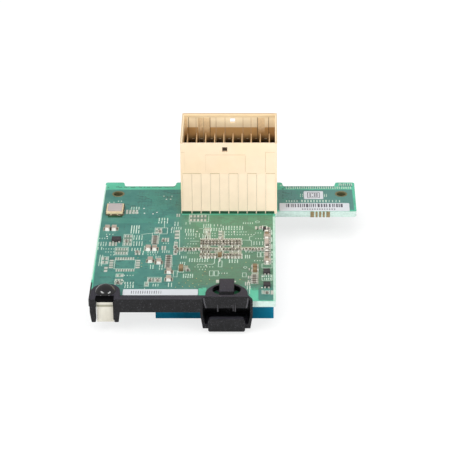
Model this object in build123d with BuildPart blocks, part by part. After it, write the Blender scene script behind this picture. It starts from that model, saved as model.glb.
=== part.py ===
from build123d import *
import os

# A stacking network card: a green board with a tall connector at its rear,
# a black bracket along its front edge and a heat sink underneath.
# Millimetres. The card rests on the tips of the heat sink's fins at z = 0,
# with its front towards -Y, and x = 0 and y = 0 in the middle of its box.

# Stack of heights, upwards from the plane that the card rests on
fin_height = 2.58
sink_base = 1.3
pad_thickness = 0.2
chip_height = 1.5
ball_height = 0.5
board_thickness = 1.57

# Circuit board: main panel, side wing and the tabs along the rear edge
board_width = 43.65
board_depth = 60.5
wing_width = 20.5
wing_depth = 16.0
rear_notch_depth = 2.15
notch_slope = 0.4
left_tab_width = 4.7
left_notch_width = 13.6
right_notch_width = 13.9
right_tab_width = 4.85
board_corner = 0.6

# Mounting holes: one at the left, one in the wing
hole_diameter = 2.35
hole_side_inset = 3.6
hole_rear_inset = 6.5
plating = 0.12
rim_width = 0.4
rim_height = 0.06

# Stacking connector
connector_width = 24.0
connector_depth = 17.5
connector_height = 19.6
connector_inset = 20.1
connector_overhang = 0.4
shroud_side = 0.48
shroud_front = 0.65
shroud_rear = 0.8
shroud_skirt = 11.3
mouth_chamfer = 0.25
window_size = 1.25
window_drop = 1.1
front_window_shift = -0.95
rear_window_shift = 0.75

# Wafers in the connector, and their contacts
wafer_count = 10
wafer_gap = 0.04
wafer_standoff = 0.64
wafer_shoulder = 11.2
blade_thickness = 0.32
blade_height = 14.5
blade_clearance = 0.4
blade_share = 0.375
foot_width = 0.3
foot_length = 1.6
contacts_each = 8
contact_thickness = 0.15
contact_width = 0.8
contact_height = 13.9

# Front bracket: bar, plate and fork
bar_depth = 1.44
bar_drop = 2.24
plate_thickness = 1.3
fork_inset = 3.9
fork_width = 7.0
fork_length = 4.83
leg_width = 1.37
leg_taper = 0.35
leg_tip = 0.3
head_radius = 3.4
head_centre = 2.6
head_recess = 0.35
edge_round = 0.15

# Front bracket: latch end
latch_inset = 32.15
latch_plate_radius = 4.93
latch_plate_centre = 1.18
latch_opening_width = 1.58
latch_opening_start = 1.0
latch_opening_end = 5.17
strap_width = 3.5
strap_start = 1.03
strap_end = 7.25
strap_height = 2.0
strap_corner = 0.25
latch_width = 12.2
latch_skin = 0.7
latch_side = 0.55
latch_crown = 2.05
latch_shoulder = 1.0
latch_shoulder_round = 0.75
panel_half_width = 5.1
panel_taper = 0.35
panel_drop = 1.04
panel_gap_drop = 0.95
latch_drop = 7.12
latch_taper = 0.55
latch_taper_start = 3.0
latch_floor = 1.0
foot_lift = 0.6
latch_reach = 4.5
under_gap = 0.05
tab_width = 8.6
tab_height = 3.4
tab_proud = 0.5
tab_corner = 0.9
rib_width = 0.35
rib_drop = 1.0
rib_spacing = 4.0
peg_radius = 1.1
peg_place = 2.6
peg_length = 0.9
peg_barb = 0.25
peg_clearance = 0.1

# Rivet through the fork's head
dome_radius = 2.45
dome_height = 1.55
shank_radius = 0.95
shank_clearance = 0.05
rivet_tail_radius = 1.45
rivet_tail_height = 0.8

# Folded clip between the legs
clip_width = 3.95
clip_thickness = 0.4
clip_gap = 0.06
clip_reach = 5.3
clip_drop = 3.7
clip_bend = 0.12

# Heat sink and the controller that it cools
sink_width = 27.9
sink_depth = 39.8
sink_inset = 15.25
sink_set_back = 5.0
fin_count = 16
fin_thickness = 0.8
pad_size = 19.0
chip_size = 21.0
chip_centre_x = 30.15
chip_centre_y = 24.9
chip_step = 0.35
chip_step_inset = 0.6
ball_pitch = 1.4
ball_radius = 0.38
ball_rows = 14

# Oscillator
oscillator_width = 4.5
oscillator_depth = 4.9
oscillator_base = 0.9
oscillator_lid = 0.3
oscillator_lid_inset = 0.5
castellation_radius = 0.3

# Small parts: length, width, height and end length of each size of chip part
large_length = 1.6
large_width = 1.2
large_height = 0.8
large_end = 0.35
small_length = 1.0
small_width = 0.5
small_height = 0.45
small_end = 0.22
array_length = 1.5
array_width = 0.6
array_height = 0.4
array_end = 0.3
field_pitch = 0.83
side_row_pitch = 0.98
side_row_start = 6.4
array_pitch_share = 0.01736
bead_length = 2.2
short_bead_length = 1.1
bead_width = 1.0
bead_height = 0.8

# Small dark packages with leads
package_width = 2.3
narrow_package_width = 1.65
package_depth = 1.5
package_height = 0.9
package_lead_width = 0.4
package_lead_reach = 0.5
package_lead_height = 0.3

# Parts under the board
memory_width = 3.9
memory_length = 4.9
memory_height = 1.5
memory_lead_pitch = 1.27
memory_lead_width = 0.42
memory_lead_reach = 1.0
memory_lead_height = 0.5
memory_lead_count = 4
regulator_size = 5.0
regulator_height = 0.9
inductor_size = 4.0
inductor_height = 2.0
inductor_base = 0.3
inductor_corner = 0.6

# Labels
label_thickness = 0.08
label_corner = 0.35
front_label_width = 17.6
front_label_depth = 2.8
front_label_inset = 7.8
front_label_set_back = 2.6
bar_label_width = 17.7
bar_label_depth = 4.3
bar_label_inset = 1.1
bar_label_set_back = 0.1
code_label_width = 4.95
code_label_depth = 4.3
code_label_inset = 7.35
code_label_set_back = 6.65

# Gold contacts on the front edge of the wing
edge_contact_widths = [0.9, 0.5, 0.5, 0.5, 0.9]
edge_contact_gap = 0.4
edge_contact_inset = 8.9
edge_contact_skin = 0.06
edge_contact_tail = 2.0

# One overrun serves every cut
overrun = 0.5

# Levels
sink_top = fin_height + sink_base
chip_bottom = sink_top + pad_thickness
board_bottom = chip_bottom + chip_height + ball_height
board_top = board_bottom + board_thickness
plate_top = board_top + plate_thickness

# Places across and along
board_left = -(board_width + wing_width) / 2
board_right = board_left + board_width
wing_right = board_right + wing_width
rear_reach = board_depth + connector_overhang
board_front = (bar_depth + tab_proud - rear_reach) / 2
board_rear = board_front + board_depth
wing_front = board_rear - wing_depth
connector_left = board_left + connector_inset
connector_right = connector_left + connector_width
connector_rear = board_rear + connector_overhang
connector_front = connector_rear - connector_depth
bar_front = board_front - bar_depth
fork_x = board_left + fork_inset
fork_right = fork_x + fork_width / 2
head_y = board_front + head_centre
latch_x = board_left + latch_inset
chip_x = board_left + chip_centre_x
chip_y = board_front + chip_centre_y

hole_y = board_rear - hole_rear_inset
mounting_holes = [(board_left + hole_side_inset, hole_y), (wing_right - hole_side_inset, hole_y)]


def block(low, high, mode=Mode.ADD):
    """Add a box to the part in hand, given two opposite corners."""
    size = [b - a for a, b in zip(low, high)]
    with Locations(low):
        Box(*size, align=(Align.MIN, Align.MIN, Align.MIN), mode=mode)


def board_places(shares):
    """Turn shares of the main panel into places on it."""
    return [
        (board_left + across * board_width, board_front + along * board_depth)
        for across, along in shares
    ]


def turned(places, angle):
    """Give each place a direction, for parts that lie across or along."""
    return [(x, y, angle) for x, y in places]


def chip_bodies(places, length, width, height, end):
    """Add the bodies of chip parts, between their ends, on top of the board."""
    body = length - 2 * end
    with Locations(*[Location((x, y, board_top), (0, 0, angle)) for x, y, angle in places]):
        Box(body, width, height, align=(Align.CENTER, Align.CENTER, Align.MIN))


def chip_ends(places, length, width, height, end):
    """Add the metal ends of chip parts on top of the board."""
    step = (length - end) / 2
    with Locations(*[Location((x, y, board_top), (0, 0, angle)) for x, y, angle in places]):
        with Locations((-step, 0), (step, 0)):
            Box(end, width, height, align=(Align.CENTER, Align.CENTER, Align.MIN))


def column(first_share, pitch_share, count):
    """Places of a column of chip parts, from a first place towards the rear."""
    across, along = first_share
    return board_places([(across, along + i * pitch_share) for i in range(count)])


def tombstone(x, front, centre, radius):
    """Outline a plate on the board, with straight sides and a half-round rear end."""
    with BuildSketch(Plane.XY.offset(board_top)) as outline:
        with BuildLine():
            Polyline((x - radius, centre), (x - radius, front), (x + radius, front), (x + radius, centre))
            ThreePointArc((x + radius, centre), (x, centre + radius), (x - radius, centre))
        make_face()
    return outline.sketch


def label_outline(left, front, width, depth):
    """Outline a round-cornered label on the board."""
    with BuildSketch(Plane.XY.offset(board_top)) as outline:
        with Locations((left + width / 2, front + depth / 2)):
            RectangleRounded(width, depth, label_corner)
    return outline.sketch


# Circuit board
with BuildPart() as circuit_board:
    with BuildSketch(Plane.XY.offset(board_bottom)) as board_outline:
        notch_rear = board_rear - rear_notch_depth
        left_tab_end = board_left + left_tab_width
        centre_tab_start = left_tab_end + left_notch_width
        right_tab_start = wing_right - right_tab_width
        centre_tab_end = right_tab_start - right_notch_width
        with BuildLine():
            Polyline(
                (board_left, board_front),
                (board_right, board_front),
                (board_right, wing_front),
                (wing_right, wing_front),
                (wing_right, board_rear),
                (right_tab_start, board_rear),
                (right_tab_start - notch_slope, notch_rear),
                (centre_tab_end + notch_slope, notch_rear),
                (centre_tab_end, board_rear),
                (centre_tab_start, board_rear),
                (centre_tab_start - notch_slope, notch_rear),
                (left_tab_end + notch_slope, notch_rear),
                (left_tab_end, board_rear),
                (board_left, board_rear),
                close=True,
            )
        make_face()
        fillet(board_outline.vertices(), radius=board_corner)
        with Locations(*mounting_holes):
            Circle(hole_diameter / 2 + plating, mode=Mode.SUBTRACT)
        with Locations((fork_x, head_y)):
            Circle(shank_radius + shank_clearance, mode=Mode.SUBTRACT)
        with Locations((latch_x, board_front + peg_place)):
            Circle(peg_radius + peg_clearance, mode=Mode.SUBTRACT)
    extrude(amount=board_thickness)
circuit_board.part.label = "circuit_board"

# Plated linings of the mounting holes, with a rim on each face
with BuildPart() as hole_rims:
    barrel = hole_diameter + 2 * plating
    flange = hole_diameter + 2 * rim_width
    for level, rise, width in (
        (board_bottom, board_thickness, barrel),
        (board_top, rim_height, flange),
        (board_bottom - rim_height, rim_height, flange),
    ):
        with BuildSketch(Plane.XY.offset(level)):
            with Locations(*mounting_holes):
                Circle(width / 2)
                Circle(hole_diameter / 2, mode=Mode.SUBTRACT)
        extrude(amount=rise)
hole_rims.part.label = "hole_rims"

# Gold contacts over the wing's front edge, each with a tail under the board
with BuildPart() as edge_contacts:
    contact_left = board_right + edge_contact_inset
    for width in edge_contact_widths:
        block(
            (contact_left, wing_front - edge_contact_skin, board_bottom),
            (contact_left + width, wing_front, board_top),
        )
        block(
            (contact_left, wing_front - edge_contact_skin, board_bottom - edge_contact_skin),
            (contact_left + width, wing_front + edge_contact_tail, board_bottom),
        )
        contact_left += width + edge_contact_gap
edge_contacts.part.label = "edge_contacts"

# Connector shroud: an open box whose front wall stops above the wafers
mouth_left = connector_left + shroud_side
mouth_right = connector_right - shroud_side
mouth_front = connector_front + shroud_front
mouth_rear = connector_rear - shroud_rear
connector_top = board_top + connector_height
connector_x = (connector_left + connector_right) / 2

with BuildPart() as connector_shroud:
    block((connector_left, connector_front, board_top), (connector_right, connector_rear, connector_top))
    upright_edges = connector_shroud.edges().filter_by(Axis.Z)
    fillet(upright_edges, radius=mouth_chamfer)
    block(
        (mouth_left, mouth_front, board_top - overrun),
        (mouth_right, mouth_rear, connector_top + overrun),
        mode=Mode.SUBTRACT,
    )
    inner_rim = connector_shroud.faces().sort_by(Axis.Z)[-1].inner_wires()[0].edges()
    chamfer(inner_rim, length=mouth_chamfer)
    block(
        (mouth_left, connector_front - overrun, board_top - overrun),
        (mouth_right, mouth_front + overrun, board_top + shroud_skirt),
        mode=Mode.SUBTRACT,
    )
    window_top = connector_top - window_drop
    for shift, low_y, high_y in (
        (front_window_shift, connector_front - overrun, mouth_front + overrun),
        (rear_window_shift, mouth_rear - overrun, connector_rear + overrun),
    ):
        window_left = connector_x + shift - window_size / 2
        block(
            (window_left, low_y, window_top - window_size),
            (window_left + window_size, high_y, window_top),
            mode=Mode.SUBTRACT,
        )
connector_shroud.part.label = "connector_shroud"

# Wafers: ten slabs side by side, each with a thin blade up into the mouth,
# two feet on the board, and slots that hold its contacts
wafer_pitch = (mouth_right - mouth_left) / wafer_count
wafer_width = wafer_pitch - wafer_gap
wafer_lefts = [mouth_left + wafer_gap / 2 + i * wafer_pitch for i in range(wafer_count)]
slab_rear = mouth_rear - wafer_gap
slab_depth = slab_rear - connector_front
blade_front = mouth_front + blade_clearance
blade_depth = slab_rear - blade_clearance - blade_front
contact_pitch = blade_depth / contacts_each
blade_offset = blade_share * wafer_pitch - blade_thickness / 2
contact_places = [
    (left + blade_offset - contact_thickness, blade_front + (j + 0.5) * contact_pitch - contact_width / 2)
    for left in wafer_lefts
    for j in range(contacts_each)
]
low_corner = (Align.MIN, Align.MIN, Align.MIN)

with BuildPart() as connector_wafers:
    with Locations(*[(left, connector_front, board_top + wafer_standoff) for left in wafer_lefts]):
        Box(wafer_width, slab_depth, wafer_shoulder - wafer_standoff, align=low_corner)
    with Locations(*[(left + blade_offset, blade_front, board_top + wafer_shoulder) for left in wafer_lefts]):
        Box(blade_thickness, blade_depth, blade_height - wafer_shoulder, align=low_corner)
    foot_left = wafer_width - foot_width
    for foot_front in (connector_front, slab_rear - foot_length):
        with Locations(*[(left + foot_left, foot_front, board_top) for left in wafer_lefts]):
            Box(foot_width, foot_length, wafer_standoff, align=low_corner)
    with Locations(*[(x, y, board_top) for x, y in contact_places]):
        Box(contact_thickness, contact_width, wafer_shoulder, align=low_corner, mode=Mode.SUBTRACT)
connector_wafers.part.label = "connector_wafers"

with BuildPart() as connector_contacts:
    with Locations(*[(x, y, board_top) for x, y in contact_places]):
        Box(contact_thickness, contact_width, contact_height, align=low_corner)
connector_contacts.part.label = "connector_contacts"

# Front bracket: one moulding with a forked end, a bar and a latch end
bar_bottom = board_top - bar_drop
latch_top = board_top + latch_crown
latch_bottom = board_top - latch_drop
foot_bottom = latch_bottom + foot_lift
latch_half = latch_width / 2
skin_rear = bar_front + latch_skin
trough_top = board_bottom - under_gap
trough_rear = board_front + latch_reach

# Strap over the latch end's plate
with BuildPart() as strap:
    block(
        (latch_x - strap_width / 2, board_front + strap_start, board_top),
        (latch_x + strap_width / 2, board_front + strap_end, board_top + strap_height),
    )
    fillet(strap.faces().sort_by(Axis.Z)[-1].edges(), radius=strap_corner)

with BuildPart() as front_bracket:
    # Bar against the board's front edge
    bar_right = latch_x - latch_half + latch_side
    block((fork_right - edge_round, bar_front, bar_bottom), (bar_right, board_front, plate_top))
    bar_edges = front_bracket.edges().filter_by(Axis.X).group_by(Axis.Y)[0]
    fillet(bar_edges, radius=edge_round)

    # Head of the fork, on the board
    extrude(tombstone(fork_x, bar_front, head_y, head_radius), amount=plate_thickness)
    head_edges = front_bracket.edges().filter_by(GeomType.CIRCLE).group_by(Axis.Z)[-1]
    fillet(head_edges, radius=edge_round)

    # Legs of the fork, in front of the board
    for side in (-1, 1):
        outer = fork_x + side * fork_width / 2
        inner = outer - side * leg_width
        leg_bottom = board_top - fork_length
        with BuildSketch(Plane.XZ.offset(-board_front)) as leg_outline:
            with BuildLine():
                Polyline(
                    (outer, plate_top),
                    (outer, bar_bottom),
                    (outer - side * leg_taper, leg_bottom),
                    (inner, leg_bottom),
                    (inner, plate_top),
                    close=True,
                )
            make_face()
            fillet(leg_outline.vertices().group_by(Axis.Y)[0], radius=leg_tip)
        extrude(amount=bar_depth)
    block(
        (fork_x - fork_width / 2 + leg_width, bar_front - overrun, board_top - overrun),
        (fork_x + fork_width / 2 - leg_width, board_front + head_recess, plate_top + overrun),
        mode=Mode.SUBTRACT,
    )
    with Locations((fork_x, head_y, plate_top)):
        Hole(radius=shank_radius + shank_clearance, depth=plate_thickness + overrun)

    # Half-round plate of the latch end, with an opening each side of the strap
    latch_plate_y = board_front + latch_plate_centre
    latch_plate = tombstone(latch_x, skin_rear - edge_round, latch_plate_y, latch_plate_radius)
    extrude(latch_plate, amount=plate_thickness)
    opening_front = board_front + latch_opening_start
    opening_rear = board_front + latch_opening_end
    opening_middle = (opening_front + opening_rear) / 2
    with BuildSketch(Plane.XY.offset(board_top)):
        for side in (-1, 1):
            straight = latch_x + side * strap_width / 2
            bulge = straight + side * latch_opening_width
            with BuildLine():
                Line((straight, opening_front), (straight, opening_rear))
                ThreePointArc((straight, opening_rear), (bulge, opening_middle), (straight, opening_front))
            make_face()
    extrude(amount=plate_thickness, mode=Mode.SUBTRACT)
    add(strap.part)

    # Front skin of the latch, with rounded shoulders and its cut-out
    with BuildSketch(Plane.XZ.offset(-skin_rear)) as skin_outline:
        taper_z = board_top - latch_taper_start
        shoulder_z = board_top + latch_shoulder
        bottom_half = latch_half - latch_taper
        with BuildLine():
            Polyline(
                (latch_x - bottom_half, foot_bottom),
                (latch_x - latch_half, taper_z),
                (latch_x - latch_half, shoulder_z),
                (latch_x - panel_half_width, latch_top),
                (latch_x + panel_half_width, latch_top),
                (latch_x + latch_half, shoulder_z),
                (latch_x + latch_half, taper_z),
                (latch_x + bottom_half, foot_bottom),
                close=True,
            )
        make_face()
        levels = skin_outline.vertices().group_by(Axis.Y)
        fillet(levels[-1] + levels[-2], radius=latch_shoulder_round)
        panel_bottom = board_top - panel_drop
        inside_top = latch_half - latch_side
        inside_bottom = bottom_half - latch_side
        gap_top = board_top - panel_gap_drop
        with BuildLine():
            Polyline(
                (latch_x - inside_bottom, foot_bottom + latch_floor),
                (latch_x - inside_top, taper_z),
                (latch_x - inside_top, gap_top),
                (latch_x - panel_half_width, gap_top),
                (latch_x - panel_half_width + panel_taper, panel_bottom),
                (latch_x + panel_half_width - panel_taper, panel_bottom),
                (latch_x + panel_half_width, gap_top),
                (latch_x + inside_top, gap_top),
                (latch_x + inside_top, taper_z),
                (latch_x + inside_bottom, foot_bottom + latch_floor),
                close=True,
            )
        make_face(mode=Mode.SUBTRACT)
    extrude(amount=latch_skin)

    # Trough of the latch, under the board
    for start, amount, wall in (
        (trough_rear, trough_rear - skin_rear, latch_side),
        (trough_rear, latch_side, 0),
    ):
        with BuildSketch(Plane.XZ.offset(-start)):
            for shrink, rise, mode in ((0, 0, Mode.ADD), (wall, latch_floor, Mode.SUBTRACT)):
                if rise and not wall:
                    continue
                top_z = trough_top + (overrun if rise else 0)
                with BuildLine():
                    Polyline(
                        (latch_x - bottom_half + shrink, foot_bottom + rise),
                        (latch_x - latch_half + shrink, taper_z),
                        (latch_x - latch_half + shrink, top_z),
                        (latch_x + latch_half - shrink, top_z),
                        (latch_x + latch_half - shrink, taper_z),
                        (latch_x + bottom_half - shrink, foot_bottom + rise),
                        close=True,
                    )
                make_face(mode=mode)
        extrude(amount=amount)

    # Thumb tab and the two small ribs above it
    with BuildSketch(Plane.XZ.offset(-skin_rear)) as tab_outline:
        with Locations((latch_x, latch_bottom + tab_height / 2)):
            Rectangle(tab_width, tab_height)
        fillet(tab_outline.vertices().group_by(Axis.Y)[-1], radius=tab_corner)
        fillet(tab_outline.vertices().group_by(Axis.Y)[0], radius=tab_corner / 2)
    extrude(amount=latch_skin + tab_proud)
    for side in (-1, 1):
        rib_x = latch_x + side * rib_spacing / 2
        block(
            (rib_x - rib_width / 2, bar_front + edge_round, panel_bottom - rib_drop),
            (rib_x + rib_width / 2, skin_rear, panel_bottom + rib_drop),
        )

    # Snap peg through the board under the strap
    with BuildSketch(Plane.XZ.offset(-(board_front + peg_place))):
        with BuildLine():
            Polyline(
                (latch_x, board_top + edge_round),
                (latch_x + peg_radius, board_top + edge_round),
                (latch_x + peg_radius, trough_top),
                (latch_x + peg_radius + peg_barb, trough_top),
                (latch_x + peg_radius, board_bottom - peg_length),
                (latch_x, board_bottom - peg_length),
                close=True,
            )
        make_face()
    revolve(axis=Axis((latch_x, board_front + peg_place, 0), (0, 0, 1)))
front_bracket.part.label = "front_bracket"

# Rivet: domed head, shank, and a tail that clamps the clip
clip_bottom = board_bottom - clip_thickness
dome_curve = (dome_radius**2 + dome_height**2) / (2 * dome_height)

with BuildPart() as bracket_rivet:
    with BuildSketch(Plane.XZ.offset(-head_y)):
        with BuildLine():
            Polyline(
                (fork_x + dome_radius, plate_top),
                (fork_x + shank_radius, plate_top),
                (fork_x + shank_radius, clip_bottom),
                (fork_x + rivet_tail_radius, clip_bottom),
                (fork_x + shank_radius, clip_bottom - rivet_tail_height),
                (fork_x, clip_bottom - rivet_tail_height),
                (fork_x, plate_top + dome_height),
            )
            RadiusArc((fork_x + dome_radius, plate_top), (fork_x, plate_top + dome_height), -dome_curve)
        make_face()
    revolve(axis=Axis((fork_x, head_y, 0), (0, 0, 1)))
bracket_rivet.part.label = "bracket_rivet"

# Folded clip: a flange under the board, and a doubled panel that covers the
# board's edge between the legs and hangs down below it
with BuildPart() as edge_clip:
    clip_left = fork_x - clip_width / 2
    clip_right = fork_x + clip_width / 2
    clip_face = board_front - clip_gap - clip_thickness
    block((clip_left, clip_face, clip_bottom), (clip_right, board_front + clip_reach, board_bottom))
    block(
        (clip_left, clip_face, board_bottom - clip_drop),
        (clip_right, clip_face + clip_thickness, board_top),
    )
    top_fold = edge_clip.edges().filter_by(Axis.X).group_by(Axis.Z)[-1]
    fillet(top_fold, radius=clip_bend)
    with Locations((fork_x, head_y, board_bottom)):
        Hole(radius=shank_radius + shank_clearance, depth=clip_thickness + overrun)
edge_clip.part.label = "edge_clip"

# Heat sink: a base with fins across it, the front one flush with its face
sink_left = board_left + sink_inset
sink_front = board_front + sink_set_back
fin_step = (sink_depth - fin_thickness) / (fin_count - 1)

with BuildPart() as heat_sink:
    block((sink_left, sink_front, fin_height), (sink_left + sink_width, sink_front + sink_depth, sink_top))
    with Locations(*[(sink_left, sink_front + i * fin_step, 0) for i in range(fin_count)]):
        Box(sink_width, fin_thickness, fin_height, align=low_corner)
    fillet(heat_sink.edges().filter_by(Axis.Z).group_by(Axis.Y)[0], radius=edge_round)
heat_sink.part.label = "heat_sink"

with BuildPart() as thermal_pad:
    with Locations((chip_x, chip_y, sink_top)):
        Box(pad_size, pad_size, pad_thickness, align=(Align.CENTER, Align.CENTER, Align.MIN))
thermal_pad.part.label = "thermal_pad"

# Controller: a moulded chip with a stepped rim and its solder balls
with BuildPart() as controller_chip:
    with Locations((chip_x, chip_y, chip_bottom)):
        Box(
            chip_size - 2 * chip_step_inset,
            chip_size - 2 * chip_step_inset,
            chip_height,
            align=(Align.CENTER, Align.CENTER, Align.MIN),
        )
    with Locations((chip_x, chip_y, chip_bottom + chip_height)):
        Box(chip_size, chip_size, chip_step, align=(Align.CENTER, Align.CENTER, Align.MAX))
        with GridLocations(ball_pitch, ball_pitch, ball_rows, ball_rows):
            Cylinder(ball_radius, ball_height, align=(Align.CENTER, Align.CENTER, Align.MIN))
controller_chip.part.label = "controller_chip"

# Oscillator: a ceramic base with notched sides, and a metal lid
oscillator_share = [(0.078, 0.7385)]
oscillator_x, oscillator_y = board_places(oscillator_share)[0]

with BuildPart() as oscillator_base_body:
    with BuildSketch(Plane.XY.offset(board_top)):
        with Locations((oscillator_x, oscillator_y)):
            RectangleRounded(oscillator_width, oscillator_depth, castellation_radius)
            with GridLocations(oscillator_width, oscillator_depth / 2, 2, 2):
                Circle(castellation_radius, mode=Mode.SUBTRACT)
            with GridLocations(oscillator_width / 2, oscillator_depth, 2, 2):
                Circle(castellation_radius, mode=Mode.SUBTRACT)
    extrude(amount=oscillator_base)
oscillator_base_body.part.label = "oscillator_base"

with BuildPart() as oscillator_cap:
    with BuildSketch(Plane.XY.offset(board_top + oscillator_base)):
        with Locations((oscillator_x, oscillator_y)):
            RectangleRounded(
                oscillator_width - 2 * oscillator_lid_inset,
                oscillator_depth - 2 * oscillator_lid_inset,
                castellation_radius,
            )
    extrude(amount=oscillator_lid)
oscillator_cap.part.label = "oscillator_lid"

# Chip parts on top of the board. Places are shares of the main panel.
large_capacitor_shares = [
    (0.048, 0.581), (0.086, 0.581), (0.291, 0.4126), (0.326, 0.4126),
    (0.309, 0.3145), (0.357, 0.302), (0.417, 0.226), (0.419, 0.167),
]
column_share = 0.955
column_capacitor_shares = [(column_share, 0.508), (column_share, 0.308)]
large_places = turned(board_places(large_capacitor_shares), 90)
large_places += turned(board_places(column_capacitor_shares), 0)

with BuildPart() as large_capacitors:
    chip_bodies(large_places, large_length, large_width, large_height, large_end)
large_capacitors.part.label = "large_capacitors"

with BuildPart() as large_capacitor_ends:
    chip_ends(large_places, large_length, large_width, large_height, large_end)
large_capacitor_ends.part.label = "large_capacitor_ends"

# Small capacitors: a field opposite the controller, with a row on each side
# of it. The rows are set by shares of the spacing of the columns, and each
# leaves some columns free in its middle.
field_columns = 12
field_row_shares = [4.34, 2.66, -0.66, -3.94]
middle_gap_counts = [0, 0, 2, 2]
side_row_count = 5
side_row_y = chip_y + field_row_shares[2] * field_pitch
field_places = []
for share, gap_count in zip(field_row_shares, middle_gap_counts):
    for i in range(field_columns):
        columns_off = i - (field_columns - 1) / 2
        if abs(columns_off) > gap_count / 2:
            field_places.append((chip_x + columns_off * field_pitch, chip_y + share * field_pitch))
side_row_places = [
    (chip_x + side * (side_row_start + i * side_row_pitch), side_row_y)
    for side in (-1, 1)
    for i in range(side_row_count)
]
small_places = turned(field_places + side_row_places, 90)

with BuildPart() as small_capacitors:
    chip_bodies(small_places, small_length, small_width, small_height, small_end)
small_capacitors.part.label = "small_capacitors"

with BuildPart() as small_capacitor_ends:
    chip_ends(small_places, small_length, small_width, small_height, small_end)
small_capacitor_ends.part.label = "small_capacitor_ends"

# Chip resistors: columns of long ones, and small ones here and there
column_start_shares = [
    (0.409, 0.262), (0.324, 0.459), (0.884, 0.139), (column_share, 0.336), (column_share, 0.53),
]
column_counts = [6, 4, 4, 9, 4]
array_places = []
for start_share, count in zip(column_start_shares, column_counts):
    array_places += turned(column(start_share, array_pitch_share, count), 0)
lone_resistor_shares = [
    (0.348, 0.555), (0.147, 0.137), (0.165, 0.472), (0.445, 0.385), (0.443, 0.424), (0.925, 0.59),
    (0.951, 0.058), (0.319, 0.155), (0.360, 0.155), (0.520, 0.236), (0.373, 0.478), (0.231, 0.386),
]
lone_places = turned(board_places(lone_resistor_shares), 0)

with BuildPart() as chip_resistors:
    chip_bodies(array_places, array_length, array_width, array_height, array_end)
    chip_bodies(lone_places, small_length, small_width, small_height, small_end)
chip_resistors.part.label = "chip_resistors"

with BuildPart() as chip_resistor_ends:
    chip_ends(array_places, array_length, array_width, array_height, array_end)
    chip_ends(lone_places, small_length, small_width, small_height, small_end)
chip_resistor_ends.part.label = "chip_resistor_ends"

# Brown ferrite beads
bead_shares = [(0.482, 0.249)]
short_bead_shares = [(0.887, 0.262), (0.887, 0.232), (0.692, 0.354)]

with BuildPart() as ferrite_beads:
    for shares, length in ((bead_shares, bead_length), (short_bead_shares, short_bead_length)):
        with Locations(*[(x, y, board_top) for x, y in board_places(shares)]):
            Box(bead_width, length, bead_height, align=(Align.CENTER, Align.CENTER, Align.MIN))
ferrite_beads.part.label = "ferrite_beads"

# Small dark packages, with two leads at the front and one at the rear
package_shares = [(0.108, 0.4826)]
narrow_package_shares = [(0.951, 0.219), (0.952, 0.1157)]
package_sizes = ((package_shares, package_width), (narrow_package_shares, narrow_package_width))

with BuildPart() as small_packages:
    for shares, width in package_sizes:
        with Locations(*[(x, y, board_top) for x, y in board_places(shares)]):
            Box(width, package_depth, package_height, align=(Align.CENTER, Align.CENTER, Align.MIN))
    fillet(small_packages.edges().group_by(Axis.Z)[-1], radius=edge_round)
small_packages.part.label = "small_packages"

with BuildPart() as package_leads:
    lead_step = (package_depth + package_lead_reach) / 2
    for shares, width in package_sizes:
        lead_spread = width / 2 - package_lead_width
        with Locations(*[(x, y, board_top) for x, y in board_places(shares)]):
            with Locations((-lead_spread, -lead_step), (lead_spread, -lead_step), (0, lead_step)):
                Box(
                    package_lead_width,
                    package_lead_reach,
                    package_lead_height,
                    align=(Align.CENTER, Align.CENTER, Align.MIN),
                )
package_leads.part.label = "package_leads"

# Parts under the board: firmware memory, voltage regulator, inductors
under_part = (Align.CENTER, Align.CENTER, Align.MAX)
memory_share = [(0.20, 0.30)]
memory_x, memory_y = board_places(memory_share)[0]
regulator_share = [(0.18, 0.52)]
inductor_shares = [(0.12, 0.70), (0.26, 0.70)]

with BuildPart() as flash_memory:
    with Locations((memory_x, memory_y, board_bottom)):
        Box(memory_width, memory_length, memory_height, align=under_part)
    fillet(flash_memory.edges().group_by(Axis.Z)[0], radius=edge_round)
flash_memory.part.label = "flash_memory"

with BuildPart() as flash_memory_leads:
    lead_step = memory_width + memory_lead_reach
    with Locations((memory_x, memory_y, board_bottom)):
        with GridLocations(lead_step, memory_lead_pitch, 2, memory_lead_count):
            Box(memory_lead_reach, memory_lead_width, memory_lead_height, align=under_part)
flash_memory_leads.part.label = "flash_memory_leads"

with BuildPart() as voltage_regulator:
    with Locations(*[(x, y, board_bottom) for x, y in board_places(regulator_share)]):
        Box(regulator_size, regulator_size, regulator_height, align=under_part)
voltage_regulator.part.label = "voltage_regulator"

with BuildPart() as power_inductors:
    with BuildSketch(Plane.XY.offset(board_bottom - inductor_base)):
        with Locations(*board_places(inductor_shares)):
            RectangleRounded(inductor_size, inductor_size, inductor_corner)
    extrude(amount=-(inductor_height - inductor_base))
    with Locations(*[(x, y, board_bottom) for x, y in board_places(inductor_shares)]):
        Box(inductor_size, inductor_size - 2 * inductor_corner, inductor_base, align=under_part)
power_inductors.part.label = "power_inductors"

# Labels
with BuildPart() as front_label:
    label_left = board_left + front_label_inset
    label_front = board_front + front_label_set_back
    front_outline = label_outline(label_left, label_front, front_label_width, front_label_depth)
    extrude(front_outline, amount=label_thickness)
front_label.part.label = "front_label"

with BuildPart() as bar_label:
    label_left = board_right + bar_label_inset
    label_front = wing_front + bar_label_set_back
    bar_outline = label_outline(label_left, label_front, bar_label_width, bar_label_depth)
    extrude(bar_outline, amount=label_thickness)
bar_label.part.label = "bar_label"

with BuildPart() as code_label:
    label_left = board_right + code_label_inset
    label_front = wing_front + code_label_set_back
    code_outline = label_outline(label_left, label_front, code_label_width, code_label_depth)
    extrude(code_outline, amount=label_thickness)
code_label.part.label = "code_label"

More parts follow.
